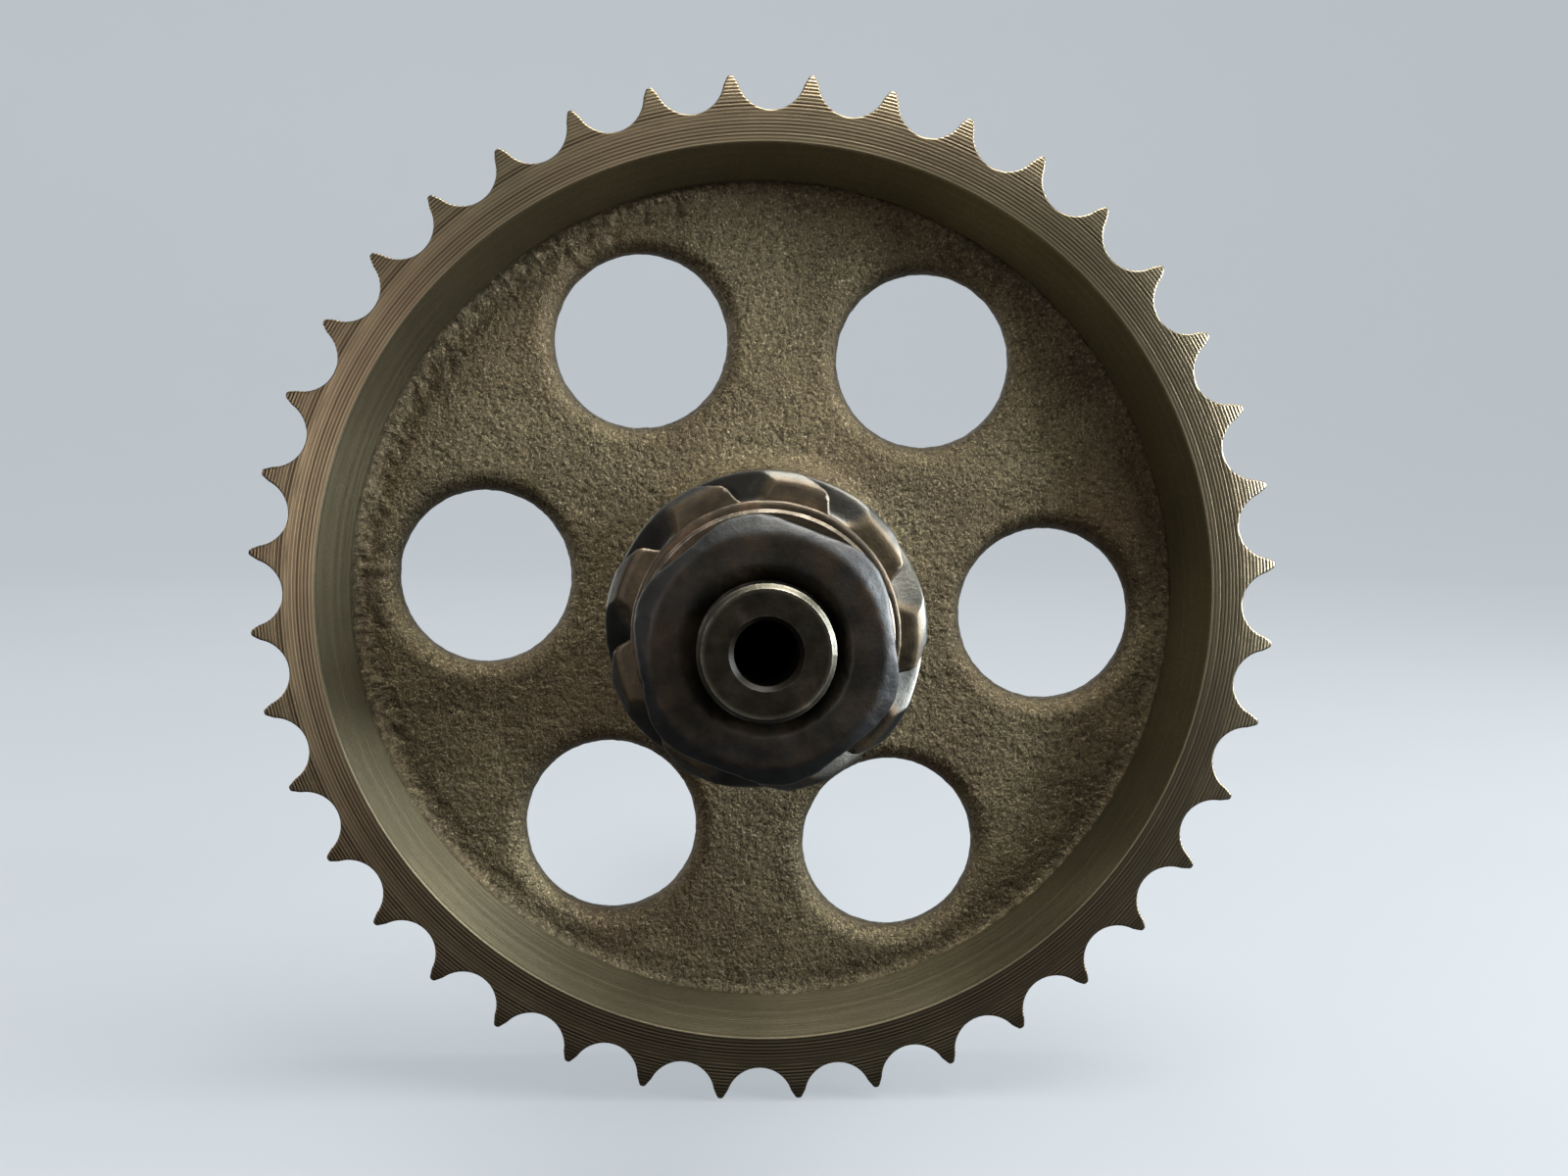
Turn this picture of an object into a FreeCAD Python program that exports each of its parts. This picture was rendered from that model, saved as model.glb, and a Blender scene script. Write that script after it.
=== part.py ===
"""Intermediate timing wheel: a duplex chain wheel and a skew gear on one shaft, and the shaft's bushes.

Millimetres. The shaft's axis is Y, +Z is up, and the origin is the centre of the wheel's rim. The skew gear
and its nut point towards -Y, and the shaft's journals and splined drive end point towards +Y.
"""

import FreeCAD, Part
import Sketcher
import math
import os

SIZES = {
    # chain wheel
    "chain_pitch": 9.525,
    "wheel_teeth": 40,
    "root_radius": 57.5,
    "tip_radius": 61.9,
    "tip_land": 0.6,
    "seat_radius": 4.0,
    "seat_angle": 74,
    "row_width": 5.3,
    "row_pitch": 10.24,
    "tooth_relief": 1.2,
    "relief_start": 58.0,
    "groove_radius": 55.8,
    "rim_radius": 53.8,
    "front_recess": 6.5,
    "web_thickness": 5.0,
    "cone_angle": 29,
    "cast_fillet": 1.4,
    "window_count": 6,
    "window_radius": 10.8,
    "window_circle": 35.3,
    "window_phase": 3.18,
    "window_lip": 2.4,
    "hub_radius": 15.0,
    "hub_front": 6.0,
    "hub_back": 4.2,
    "hub_fillet": 4.0,
    "wheel_turn": 0.72,
    # shaft
    "end_radius": 5.1,
    "end_length": 2.4,
    "end_chamfer": 0.35,
    "thread_radius": 6.0,
    "thread_pitch": 1.5,
    "thread_depth": 0.86,
    "thread_play": 0.06,
    "thread_mouth_share": 0.44,
    "thread_root_share": 0.08,
    "crest_play": 0.1,
    "relief_length": 2.2,
    "relief_depth": 1.1,
    "gear_seat_radius": 7.0,
    "wheel_seat_radius": 8.5,
    "seat_play": 0.01,
    "collar_radius": 13.0,
    "collar_length": 3.0,
    "journal_radius": 10.97,
    "waist_radius": 10.2,
    "waist_length": 18.0,
    "rear_journal_radius": 8.97,
    "drive_radius": 8.0,
    "drive_length": 11.0,
    "spline_count": 10,
    "spline_depth": 1.2,
    "spline_gap": 2.6,
    "spline_runout": 1.0,
    "oil_radius": 2.4,
    "cross_radius": 1.5,
    # stack on the gear side
    "spacer_length": 16.5,
    "spacer_radius": 11.0,
    "gear_length": 22.0,
    "gear_teeth": 9,
    "gear_tip_radius": 13.9,
    "gear_root_radius": 11.2,
    "gear_module": 1.25,
    "gear_tip_share": 0.43,
    "gear_root_share": 0.62,
    "gear_floor_share": 0.333,
    "gear_chamfer": 0.9,
    "gear_phase": 76,
    "washer_radius": 11.3,
    "washer_thickness": 2.5,
    "lock_radius": 10.5,
    "lock_thickness": 2.5,
    "lock_slit": 1.2,
    "nut_flats": 19.0,
    "nut_height": 10.0,
    "nut_face_radius": 8.75,
    "nut_sink_radius": 6.3,
    "nut_turn": 8,
    "nut_chamfer_angle": 30,
    "shaft_stand_out": 1.5,
    # keys
    "wheel_key_width": 5.0,
    "wheel_key_height": 5.0,
    "wheel_key_length": 18.0,
    "wheel_key_depth": 3.0,
    "gear_key_width": 4.0,
    "gear_key_height": 4.0,
    "gear_key_length": 16.0,
    "gear_key_depth": 2.5,
    "key_play": 0.02,
    # bearings
    "end_play": 0.05,
    "bush_bore_radius": 11.0,
    "bush_radius": 13.0,
    "bush_length": 28.0,
    "bush_flange_radius": 17.0,
    "bush_flange_length": 3.0,
    "thrust_thickness": 2.0,
    "thrust_radius": 16.0,
    "rear_bush_bore_radius": 9.0,
    "rear_bush_radius": 11.0,
    "rear_bush_length": 18.0,
    "rear_thrust_radius": 10.8,
    "oil_hole_radius": 2.0,
    "oil_groove_depth": 0.5,
    "ring_thickness": 1.2,
    "ring_radius": 10.3,
    "ring_groove_depth": 0.7,
    "ring_gap": 3.0,
    "ring_eye_radius": 1.15,
    "ring_eye_circle": 9.65,
    # small clearances, steps and edges
    "bush_margin": 1.0,
    "journal_lead": 2.0,
    "ring_margin": 1.8,
    "drive_step": 0.4,
    "seat_lead": 0.5,
    "thrust_play": 0.1,
    "washer_play": 0.4,
    "lock_play": 0.3,
    "key_top_gap": 0.2,
    "edge_break": 0.5,
    "overcut": 1.0,
}

doc = FreeCAD.newDocument("intermediate_wheel")
sheet = doc.addObject("Spreadsheet::Sheet", "Sizes")
for row_number, (alias, value) in enumerate(SIZES.items(), start=1):
    sheet.set(f"A{row_number}", alias)
    sheet.set(f"B{row_number}", str(value))
    sheet.setAlias(f"B{row_number}", alias)
doc.recompute()

EXACT = 1e-6
NEAR = 1e-3
subparts = []


def formula(text):
    """The text with every size's name replaced by its cell on the sheet."""
    words = []
    word = ""
    for letter in text + " ":
        if letter.isalnum() or letter == "_":
            word += letter
            continue
        words.append(f"Sizes.{word}" if word in SIZES else word)
        words.append(letter)
        word = ""
    return "".join(words).strip()


def measure(text):
    """The value that a formula of sizes has now."""
    value = sheet.evalExpression(formula(text))
    return float(getattr(value, "Value", value))


def bind(item, path, text):
    """Binds one property or constraint to a formula of sizes."""
    item.setExpression(path, formula(text))


# Places along the axis, as formulas. Each is a Y value, or a length from the start of a sub-part.
WHEEL_WIDTH = "(row_pitch + row_width)"
HUB_LENGTH = f"(hub_front + {WHEEL_WIDTH} + hub_back)"
WHEEL_START = f"(-{WHEEL_WIDTH} / 2 - hub_front)"
SPACER_START = f"({WHEEL_START} - spacer_length)"
GEAR_START = f"({SPACER_START} - gear_length)"
WASHER_START = f"({GEAR_START} - washer_thickness)"
LOCK_START = f"({WASHER_START} - lock_thickness)"
NUT_START = f"({LOCK_START} - nut_height)"
SHAFT_START = f"({NUT_START} - shaft_stand_out)"
COLLAR_START = f"({WHEEL_START} + {HUB_LENGTH})"
THRUST_START = f"({COLLAR_START} + collar_length + end_play)"
BUSH_START = f"({THRUST_START} + thrust_thickness + end_play)"
WAIST_START = f"({BUSH_START} + bush_length + bush_margin)"
REAR_JOURNAL_START = f"({WAIST_START} + waist_length)"
REAR_BUSH_START = f"({REAR_JOURNAL_START} + journal_lead)"
REAR_THRUST_START = f"({REAR_BUSH_START} + rear_bush_length + end_play)"
RING_START = f"({REAR_THRUST_START} + thrust_thickness + end_play)"
DRIVE_START = f"({RING_START} + ring_thickness + ring_margin)"
SHAFT_END = f"({DRIVE_START} + drive_length)"


def along_shaft(place):
    """A place on the axis, as a length from the shaft's gear end."""
    return f"({place} - {SHAFT_START})"


def new_body(label, start, turned=False):
    """An empty body whose own Y = 0 sits at the place start. A turned one keeps the wheel's phase."""
    body = doc.addObject("PartDesign::Body", label)
    body.Label = label
    turn = measure("wheel_turn") if turned else 0
    body.Placement = FreeCAD.Placement(
        FreeCAD.Vector(0, measure(start), 0), FreeCAD.Rotation(FreeCAD.Vector(0, 1, 0), turn)
    )
    bind(body, "Placement.Base.y", start)
    if turned:
        bind(body, "Placement.Rotation.Angle", "wheel_turn")
    subparts.append(body)
    return body


def new_sketch(body, name, role):
    """An empty sketch on one of the body's own origin planes."""
    sketch = body.newObject("Sketcher::SketchObject", f"{body.Label}_{name}")
    plane = next(item for item in body.Origin.OriginFeatures if item.Role == role)
    sketch.AttachmentSupport = (plane, [""])
    sketch.MapMode = "FlatFace"
    return sketch


def bulged_arc(start, end, radius):
    """The short arc between two points and its centre. A positive radius bulges to the right of the way."""
    chord = end - start
    middle = (start + end) * 0.5
    side = FreeCAD.Vector(chord.y, -chord.x, 0).normalize()
    drop = math.sqrt(max(radius * radius - chord.Length**2 / 4, 0))
    centre = middle - side * drop * math.copysign(1, radius)
    top = centre + side * radius
    return Part.Arc(start, top, end), centre


def draw_outline(sketch, corners, arcs=None):
    """Closes a loop through the corners, each a pair of formulas. arcs maps a corner's number to the radius
    formula of the side that leaves it; a leading minus sign bulges that side to the left."""
    arcs = arcs or {}
    points = [FreeCAD.Vector(measure(x), measure(y), 0) for x, y in corners]
    first = sketch.GeometryCount
    ends = []
    for number, start in enumerate(points):
        end = points[(number + 1) % len(points)]
        if number not in arcs:
            sketch.addGeometry(Part.LineSegment(start, end), False)
            ends.append((1, 2))
            continue
        text = arcs[number]
        radius = -measure(text[1:]) if text.startswith("-") else measure(text)
        curve, centre = bulged_arc(start, end, radius)
        turns_left = (start - centre).cross(end - centre).z > 0
        if not turns_left:
            curve = bulged_arc(end, start, -radius)[0]
        sketch.addGeometry(curve, False)
        ends.append((1, 2) if turns_left else (2, 1))
    count = len(points)
    for number in range(count):
        following = (number + 1) % count
        sketch.addConstraint(
            Sketcher.Constraint(
                "Coincident", first + number, ends[number][1], first + following, ends[following][0]
            )
        )
    for number, (x, y) in enumerate(corners):
        here = points[number]
        for kind, text, value in (("DistanceX", x, here.x), ("DistanceY", y, here.y)):
            index = sketch.addConstraint(
                Sketcher.Constraint(kind, -1, 1, first + number, ends[number][0], value)
            )
            sketch.renameConstraint(index, f"{kind[-1].lower()}_{first + number}")
            bind(sketch, f"Constraints.{kind[-1].lower()}_{first + number}", text)
    for number, text in arcs.items():
        size = text.lstrip("-")
        index = sketch.addConstraint(Sketcher.Constraint("Radius", first + number, measure(size)))
        sketch.renameConstraint(index, f"bend_{first + number}")
        bind(sketch, f"Constraints.bend_{first + number}", size)


def draw_circle(sketch, x, y, radius):
    """A circle from three formulas."""
    centre = FreeCAD.Vector(measure(x), measure(y), 0)
    number = sketch.addGeometry(Part.Circle(centre, FreeCAD.Vector(0, 0, 1), measure(radius)), False)
    for kind, text, value in (("DistanceX", x, centre.x), ("DistanceY", y, centre.y)):
        index = sketch.addConstraint(Sketcher.Constraint(kind, -1, 1, number, 3, value))
        sketch.renameConstraint(index, f"centre_{kind[-1].lower()}_{number}")
        bind(sketch, f"Constraints.centre_{kind[-1].lower()}_{number}", text)
    index = sketch.addConstraint(Sketcher.Constraint("Radius", number, measure(radius)))
    sketch.renameConstraint(index, f"radius_{number}")
    bind(sketch, f"Constraints.radius_{number}", radius)


def revolve(body, name, corners, arcs=None):
    """Turns a half section (radius, length along the axis) about the body's Y axis."""
    sketch = new_sketch(body, name, "XY_Plane")
    draw_outline(sketch, corners, arcs)
    turned = body.newObject("PartDesign::Revolution", f"{sketch.Name}_turned")
    turned.Profile = sketch
    turned.ReferenceAxis = (sketch, ["V_Axis"])
    turned.Angle = 360
    doc.recompute()
    return turned


def cut(body, feature):
    """Makes a cutting feature the body's tip, and checks that it took something away."""
    before = body.Shape.Volume
    body.Tip = feature
    doc.recompute()
    if not body.Shape.Volume < before - EXACT:
        raise RuntimeError(f"{feature.Name} cuts nothing")
    return feature


def groove(body, name, corners):
    """Turns a ring-shaped cut into the body about its Y axis."""
    sketch = new_sketch(body, name, "XY_Plane")
    draw_outline(sketch, corners)
    ring = body.newObject("PartDesign::Groove", f"{sketch.Name}_ring")
    ring.Profile = sketch
    ring.ReferenceAxis = (sketch, ["V_Axis"])
    ring.Angle = 360
    return cut(body, ring)


def pocket_through(body, sketch):
    """Cuts a sketch right through the body, both ways from its plane."""
    hole = body.newObject("PartDesign::Pocket", f"{sketch.Name}_cut")
    hole.Profile = sketch
    hole.Type = "ThroughAll"
    hole.Midplane = True
    return cut(body, hole)


def repeat_round(body, feature, sketch, count):
    """Repeats a cut evenly about the sketch's normal."""
    pattern = body.newObject("PartDesign::PolarPattern", f"{feature.Name}_round")
    pattern.Originals = [feature]
    pattern.Axis = (sketch, ["N_Axis"])
    pattern.Angle = 360
    pattern.Occurrences = int(measure(count))
    bind(pattern, "Occurrences", count)
    return cut(body, pattern)


def round_circles(body, name, radius, wanted):
    """Fillets every circular edge whose curve passes the test wanted."""
    base = body.Tip
    names = [
        f"Edge{number}"
        for number, edge in enumerate(base.Shape.Edges, start=1)
        if isinstance(edge.Curve, Part.Circle) and wanted(edge.Curve)
    ]
    fillet = body.newObject("PartDesign::Fillet", f"{body.Label}_{name}")
    fillet.Base = (base, names)
    fillet.Radius = measure(radius)
    bind(fillet, "Radius", radius)
    body.Tip = fillet
    doc.recompute()
    return fillet


def on_rings(places):
    """A test for the circles about Y given as (radius, height) formula pairs."""
    rings = [(measure(radius), measure(height)) for radius, height in places]

    def wanted(curve):
        about_y = abs(abs(curve.Axis.y) - 1) < EXACT
        return about_y and any(
            abs(curve.Radius - radius) < NEAR and abs(curve.Center.y - height) < NEAR
            for radius, height in rings
        )

    return wanted


# ---------------------------------------------------------------- chain wheel


def make_sprocket_wheel():
    """Duplex chain wheel: turned rim with two rows of teeth, cast web with round windows, keyed hub."""
    body = new_body("sprocket_wheel", WHEEL_START, turned=True)
    rim_front = "hub_front"
    rim_back = f"(hub_front + {WHEEL_WIDTH})"
    web_front = "(hub_front + front_recess)"
    web_back = "(hub_front + front_recess + web_thickness)"
    front_cone = "(rim_radius - front_recess * tan(cone_angle))"
    back_cone = f"(rim_radius - ({WHEEL_WIDTH} - front_recess - web_thickness) * tan(cone_angle))"
    bore = "(wheel_seat_radius + seat_play)"
    relief = "(((tip_radius - relief_start) ^ 2 + tooth_relief ^ 2) / (2 * tooth_relief))"
    section = [
        (bore, "0"),
        ("hub_radius", "0"),
        ("hub_radius", web_front),
        (front_cone, web_front),
        ("rim_radius", rim_front),
    ]
    arcs = {}
    for row_front in (rim_front, f"({rim_back} - row_width)"):
        arcs[len(section)] = relief
        section.append(("relief_start", row_front))
        section.append(("tip_radius", f"({row_front} + tooth_relief)"))
        arcs[len(section)] = relief
        section.append(("tip_radius", f"({row_front} + row_width - tooth_relief)"))
        section.append(("relief_start", f"({row_front} + row_width)"))
        if row_front == rim_front:
            section.append(("groove_radius", f"({row_front} + row_width)"))
            section.append(("groove_radius", f"({rim_back} - row_width)"))
    section += [
        ("rim_radius", rim_back),
        (back_cone, web_back),
        ("hub_radius", web_back),
        ("hub_radius", HUB_LENGTH),
        (bore, HUB_LENGTH),
    ]
    revolve(body, "section", section, arcs)
    round_circles(
        body, "hub_fillets", "hub_fillet", on_rings([("hub_radius", web_front), ("hub_radius", web_back)])
    )
    round_circles(
        body, "cast_fillets", "cast_fillet", on_rings([(front_cone, web_front), (back_cone, web_back)])
    )

    windows = new_sketch(body, "window", "XZ_Plane")
    draw_circle(
        windows,
        "window_circle * cos(window_phase)",
        "-window_circle * sin(window_phase)",
        "window_radius",
    )
    window = pocket_through(body, windows)
    repeat_round(body, window, windows, "window_count")
    window_radius = measure("window_radius")
    round_circles(
        body, "window_lips", "window_lip", lambda curve: abs(curve.Radius - window_radius) < NEAR
    )

    gap = new_sketch(body, "tooth_gap", "XZ_Plane")
    half_pitch = "(180 / wheel_teeth)"
    land = "(tip_land / 2 / tip_radius * 180 / pi)"
    seat_x = "(seat_radius * sin(seat_angle))"
    seat_y = "(root_radius + seat_radius - seat_radius * cos(seat_angle))"
    tip_x = f"(tip_radius * sin({half_pitch} - {land}))"
    tip_y = f"(tip_radius * cos({half_pitch} - {land}))"
    corners = [
        (f"-{tip_x}", "tip_radius + overcut"),
        (f"-{tip_x}", tip_y),
        (f"-{seat_x}", seat_y),
        ("0", "root_radius"),
        (seat_x, seat_y),
        (tip_x, tip_y),
        (tip_x, "tip_radius + overcut"),
    ]
    draw_outline(gap, corners, {2: "seat_radius", 3: "seat_radius"})
    tooth_gap = pocket_through(body, gap)
    repeat_round(body, tooth_gap, gap, "wheel_teeth")
    cut_keyway(body, bore, "wheel_key")
    return body


def cut_keyway(body, bore, key):
    """A full-length keyway in a hub, at the top of its bore."""
    sketch = new_sketch(body, "keyway", "XZ_Plane")
    half = f"({key}_width / 2 + key_play)"
    top = f"(wheel_seat_radius - {key}_depth + {key}_height + key_top_gap)"
    corners = [(f"-{half}", f"{bore} / 2"), (half, f"{bore} / 2"), (half, top), (f"-{half}", top)]
    draw_outline(sketch, corners)
    pocket_through(body, sketch)


# ---------------------------------------------------------------- shaft


def make_drive_shaft():
    """Stepped shaft: pilot end, thread, gear seat, wheel seat, collar, two journals and a splined end."""
    body = new_body("drive_shaft", SHAFT_START, turned=True)
    thread_start = "end_length"
    gear_seat = along_shaft(f"({GEAR_START} + seat_lead)")
    wheel_seat = along_shaft(f"({WHEEL_START} + seat_lead)")
    collar = along_shaft(COLLAR_START)
    journal = f"({collar} + collar_length)"
    waist = along_shaft(WAIST_START)
    rear_journal = along_shaft(REAR_JOURNAL_START)
    ring = along_shaft(RING_START)
    drive = along_shaft(DRIVE_START)
    end = along_shaft(SHAFT_END)
    ring_floor = "(rear_journal_radius - ring_groove_depth)"
    ring_end = f"({ring} + ring_thickness + end_play)"
    section = [
        ("0", "0"),
        ("end_radius - end_chamfer", "0"),
        ("end_radius", "end_chamfer"),
        ("end_radius", thread_start),
        ("thread_radius", f"({thread_start} + thread_radius - end_radius)"),
        ("thread_radius", f"({gear_seat} - relief_length)"),
        ("thread_radius - relief_depth", f"({gear_seat} - relief_length)"),
        ("thread_radius - relief_depth", gear_seat),
        ("gear_seat_radius", gear_seat),
        ("gear_seat_radius", wheel_seat),
        ("wheel_seat_radius", wheel_seat),
        ("wheel_seat_radius", collar),
        ("collar_radius", collar),
        ("collar_radius", journal),
        ("journal_radius", journal),
        ("journal_radius", f"({waist} - edge_break)"),
        ("waist_radius", waist),
        ("waist_radius", f"({rear_journal} - edge_break)"),
        ("rear_journal_radius", rear_journal),
        ("rear_journal_radius", ring),
        (ring_floor, ring),
        (ring_floor, ring_end),
        ("rear_journal_radius", ring_end),
        ("rear_journal_radius", f"({drive} - drive_step)"),
        ("drive_radius", f"({drive} - drive_step)"),
        ("drive_radius", f"({end} - edge_break * 2)"),
        ("drive_radius - edge_break * 2", end),
        ("0", end),
    ]
    revolve(body, "section", section)

    gallery_end = along_shaft(f"({BUSH_START} + bush_length / 2)")
    groove(
        body,
        "oil_gallery",
        [
            ("0", "-overcut"),
            ("oil_radius + end_chamfer + overcut", "-overcut"),
            ("oil_radius", "end_chamfer"),
            ("oil_radius", gallery_end),
            ("0", f"({gallery_end} + oil_radius / 2)"),
        ],
    )

    splines = new_sketch(body, "spline_gap", "XZ_Plane")
    splines.AttachmentOffset = FreeCAD.Placement(
        FreeCAD.Vector(0, 0, -measure(end)), FreeCAD.Rotation()
    )
    bind(splines, "AttachmentOffset.Base.z", f"-{end}")
    floor = "(drive_radius - spline_depth)"
    half = "(spline_gap / 2)"
    corners = [
        (f"-{half}", floor),
        (half, floor),
        (half, "drive_radius + overcut"),
        (f"-{half}", "drive_radius + overcut"),
    ]
    draw_outline(splines, corners)
    gap = body.newObject("PartDesign::Pocket", "drive_shaft_spline_cut")
    gap.Profile = splines
    gap.Length = measure("drive_length - spline_runout")
    bind(gap, "Length", "drive_length - spline_runout")
    gap.Reversed = True
    cut(body, gap)
    repeat_round(body, gap, splines, "spline_count")

    cut_keyseat(body, "gear_key", "gear_seat_radius", GEAR_START, "gear_length")
    cut_keyseat(body, "wheel_key", "wheel_seat_radius", WHEEL_START, HUB_LENGTH)

    cross = new_sketch(body, "cross_hole", "YZ_Plane")
    draw_circle(cross, gallery_end + " - cross_radius", "0", "cross_radius")
    pocket_through(body, cross)

    cut_thread(
        body,
        "thread_radius + crest_play",
        "thread_radius - thread_depth",
        "0",
        f"({gear_seat} - relief_length / 2)",
    )
    return body


def cut_keyseat(body, key, seat_radius, hub_start, hub_length):
    """A round-ended seat for a parallel key, in the top of the shaft, centred in its hub."""
    middle = along_shaft(f"({hub_start} + {hub_length} / 2)")
    half_width = f"({key}_width / 2)"
    half_length = f"({key}_length / 2)"
    near = f"({middle} - {half_length} + {half_width})"
    far = f"({middle} + {half_length} - {half_width})"
    sketch = new_sketch(body, f"{key}_seat", "XY_Plane")
    floor = f"({seat_radius} - {key}_depth)"
    sketch.AttachmentOffset = FreeCAD.Placement(
        FreeCAD.Vector(0, 0, measure(floor)), FreeCAD.Rotation()
    )
    bind(sketch, "AttachmentOffset.Base.z", floor)
    corners = [
        (f"-{half_width}", near),
        ("0", f"({near} - {half_width})"),
        (half_width, near),
        (half_width, far),
        ("0", f"({far} + {half_width})"),
        (f"-{half_width}", far),
    ]
    draw_outline(sketch, corners, {0: half_width, 1: half_width, 3: half_width, 4: half_width})
    seat = body.newObject("PartDesign::Pocket", f"{sketch.Name}_cut")
    seat.Profile = sketch
    seat.Length = measure(f"{key}_depth + overcut")
    bind(seat, "Length", f"{key}_depth + overcut")
    seat.Reversed = True
    cut(body, seat)


def cut_thread(body, mouth, root, start, end):
    """A right-hand V groove along a helix about Y, from radius mouth to radius root, between two heights."""
    sketch = new_sketch(body, "thread_form", "XY_Plane")
    mouth_half = "(thread_pitch * thread_mouth_share + thread_play / 2)"
    root_half = "(thread_pitch * thread_root_share + thread_play / 2)"
    corners = [
        (mouth, f"({start} - {mouth_half})"),
        (root, f"({start} - {root_half})"),
        (root, f"({start} + {root_half})"),
        (mouth, f"({start} + {mouth_half})"),
    ]
    if measure(mouth) < measure(root):
        corners.reverse()
    draw_outline(sketch, corners)
    helix = body.newObject("PartDesign::SubtractiveHelix", f"{sketch.Name}_cut")
    helix.Profile = sketch
    helix.ReferenceAxis = (sketch, ["V_Axis"])
    helix.Mode = "pitch-height-angle"
    helix.Pitch = measure("thread_pitch")
    bind(helix, "Pitch", "thread_pitch")
    helix.Height = measure(f"({end}) - ({start})")
    bind(helix, "Height", f"({end}) - ({start})")
    cut(body, helix)


def pocket_one_way(body, sketch, upwards):
    """Cuts a sketch on the XY plane through the body on one side of the axis only."""
    hole = body.newObject("PartDesign::Pocket", f"{sketch.Name}_cut")
    hole.Profile = sketch
    hole.Type = "ThroughAll"
    hole.Reversed = upwards
    return cut(body, hole)


# ---------------------------------------------------------------- keys, sleeve, washers and nut


def make_key(key, seat_radius, hub_start, hub_length):
    """Parallel key with round ends, half sunk in the top of the shaft."""
    body = new_body(key, f"({hub_start} + {hub_length} / 2)", turned=True)
    sketch = new_sketch(body, "form", "XY_Plane")
    floor = f"({seat_radius} - {key}_depth)"
    sketch.AttachmentOffset = FreeCAD.Placement(
        FreeCAD.Vector(0, 0, measure(floor)), FreeCAD.Rotation()
    )
    bind(sketch, "AttachmentOffset.Base.z", floor)
    half_width = f"(({key}_width - key_play) / 2)"
    straight = f"(({key}_length - {key}_width) / 2)"
    tip = f"({straight} + {half_width})"
    corners = [
        (f"-{half_width}", f"-{straight}"),
        ("0", f"-{tip}"),
        (half_width, f"-{straight}"),
        (half_width, straight),
        ("0", tip),
        (f"-{half_width}", straight),
    ]
    draw_outline(sketch, corners, {0: half_width, 1: half_width, 3: half_width, 4: half_width})
    pad = body.newObject("PartDesign::Pad", f"{key}_pad")
    pad.Profile = sketch
    pad.Length = measure(f"{key}_height")
    bind(pad, "Length", f"{key}_height")
    doc.recompute()
    return body


def ring_section(bore, radius, length, edge="edge_break"):
    """Half section of a plain ring whose outer corners are broken."""
    return [
        (bore, "0"),
        (f"({radius} - {edge})", "0"),
        (radius, edge),
        (radius, f"({length} - {edge})"),
        (f"({radius} - {edge})", length),
        (bore, length),
    ]


def make_spacer_sleeve():
    """Sleeve that keeps the skew gear at its distance from the wheel's hub."""
    body = new_body("spacer_sleeve", SPACER_START)
    revolve(
        body,
        "section",
        ring_section("(gear_seat_radius + key_play)", "spacer_radius", "spacer_length"),
    )
    return body


def make_gear_washer():
    """Thick plain washer between the skew gear and the lock washer."""
    body = new_body("gear_washer", WASHER_START)
    revolve(
        body,
        "section",
        ring_section(
            "(thread_radius + washer_play)", "washer_radius", "washer_thickness", "(edge_break / 2)"
        ),
    )
    return body


def make_lock_washer():
    """Split spring washer, drawn flat as it is under a tightened nut."""
    body = new_body("lock_washer", LOCK_START)
    revolve(
        body,
        "section",
        ring_section("(thread_radius + lock_play)", "lock_radius", "lock_thickness", "(edge_break / 2)"),
    )
    sketch = new_sketch(body, "slit", "XY_Plane")
    half = "(lock_slit / 2)"
    corners = [
        (f"(-{half} - lock_slit)", "-overcut"),
        (f"({half} - lock_slit)", "-overcut"),
        (f"({half} + lock_slit)", "(lock_thickness + overcut)"),
        (f"(-{half} + lock_slit)", "(lock_thickness + overcut)"),
    ]
    draw_outline(sketch, corners)
    pocket_one_way(body, sketch, upwards=False)
    return body


def make_shaft_nut():
    """Hexagon nut with a chamfered face and a countersunk, threaded bore."""
    body = new_body("shaft_nut", NUT_START, turned=True)
    corner_radius = "(nut_flats / 2 / cos(30))"
    sketch = new_sketch(body, "hexagon", "XZ_Plane")
    corners = []
    for corner in range(6):
        angle = f"(nut_turn + wheel_turn + 30 + {60 * corner})"
        corners.append((f"{corner_radius} * cos({angle})", f"{corner_radius} * sin({angle})"))
    draw_outline(sketch, corners)
    pad = body.newObject("PartDesign::Pad", "shaft_nut_pad")
    pad.Profile = sketch
    pad.Length = measure("nut_height")
    bind(pad, "Length", "nut_height")
    pad.Reversed = True
    doc.recompute()
    beyond = f"({corner_radius} + overcut)"
    slope = f"(({beyond} - nut_face_radius) * tan(nut_chamfer_angle))"
    groove(
        body, "face_chamfer", [("nut_face_radius", "0"), (beyond, "-overcut"), (beyond, slope)]
    )
    crest = "(thread_radius - thread_depth + crest_play)"
    sink = f"(nut_sink_radius - {crest})"
    groove(
        body,
        "bore",
        [
            ("0", "-overcut"),
            ("nut_sink_radius", "-overcut"),
            ("nut_sink_radius", "0"),
            (crest, sink),
            (crest, f"(nut_height - {sink} / 2)"),
            (f"({crest} + {sink} / 2)", "nut_height"),
            (f"({crest} + {sink} / 2)", "nut_height + overcut"),
            ("0", "nut_height + overcut"),
        ],
    )
    cut_thread(
        body,
        f"({crest} - crest_play)",
        "(thread_radius + thread_play)",
        "(-shaft_stand_out - thread_pitch / 2)",
        "(nut_height + thread_pitch)",
    )
    return body


# ---------------------------------------------------------------- skew gear


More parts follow.
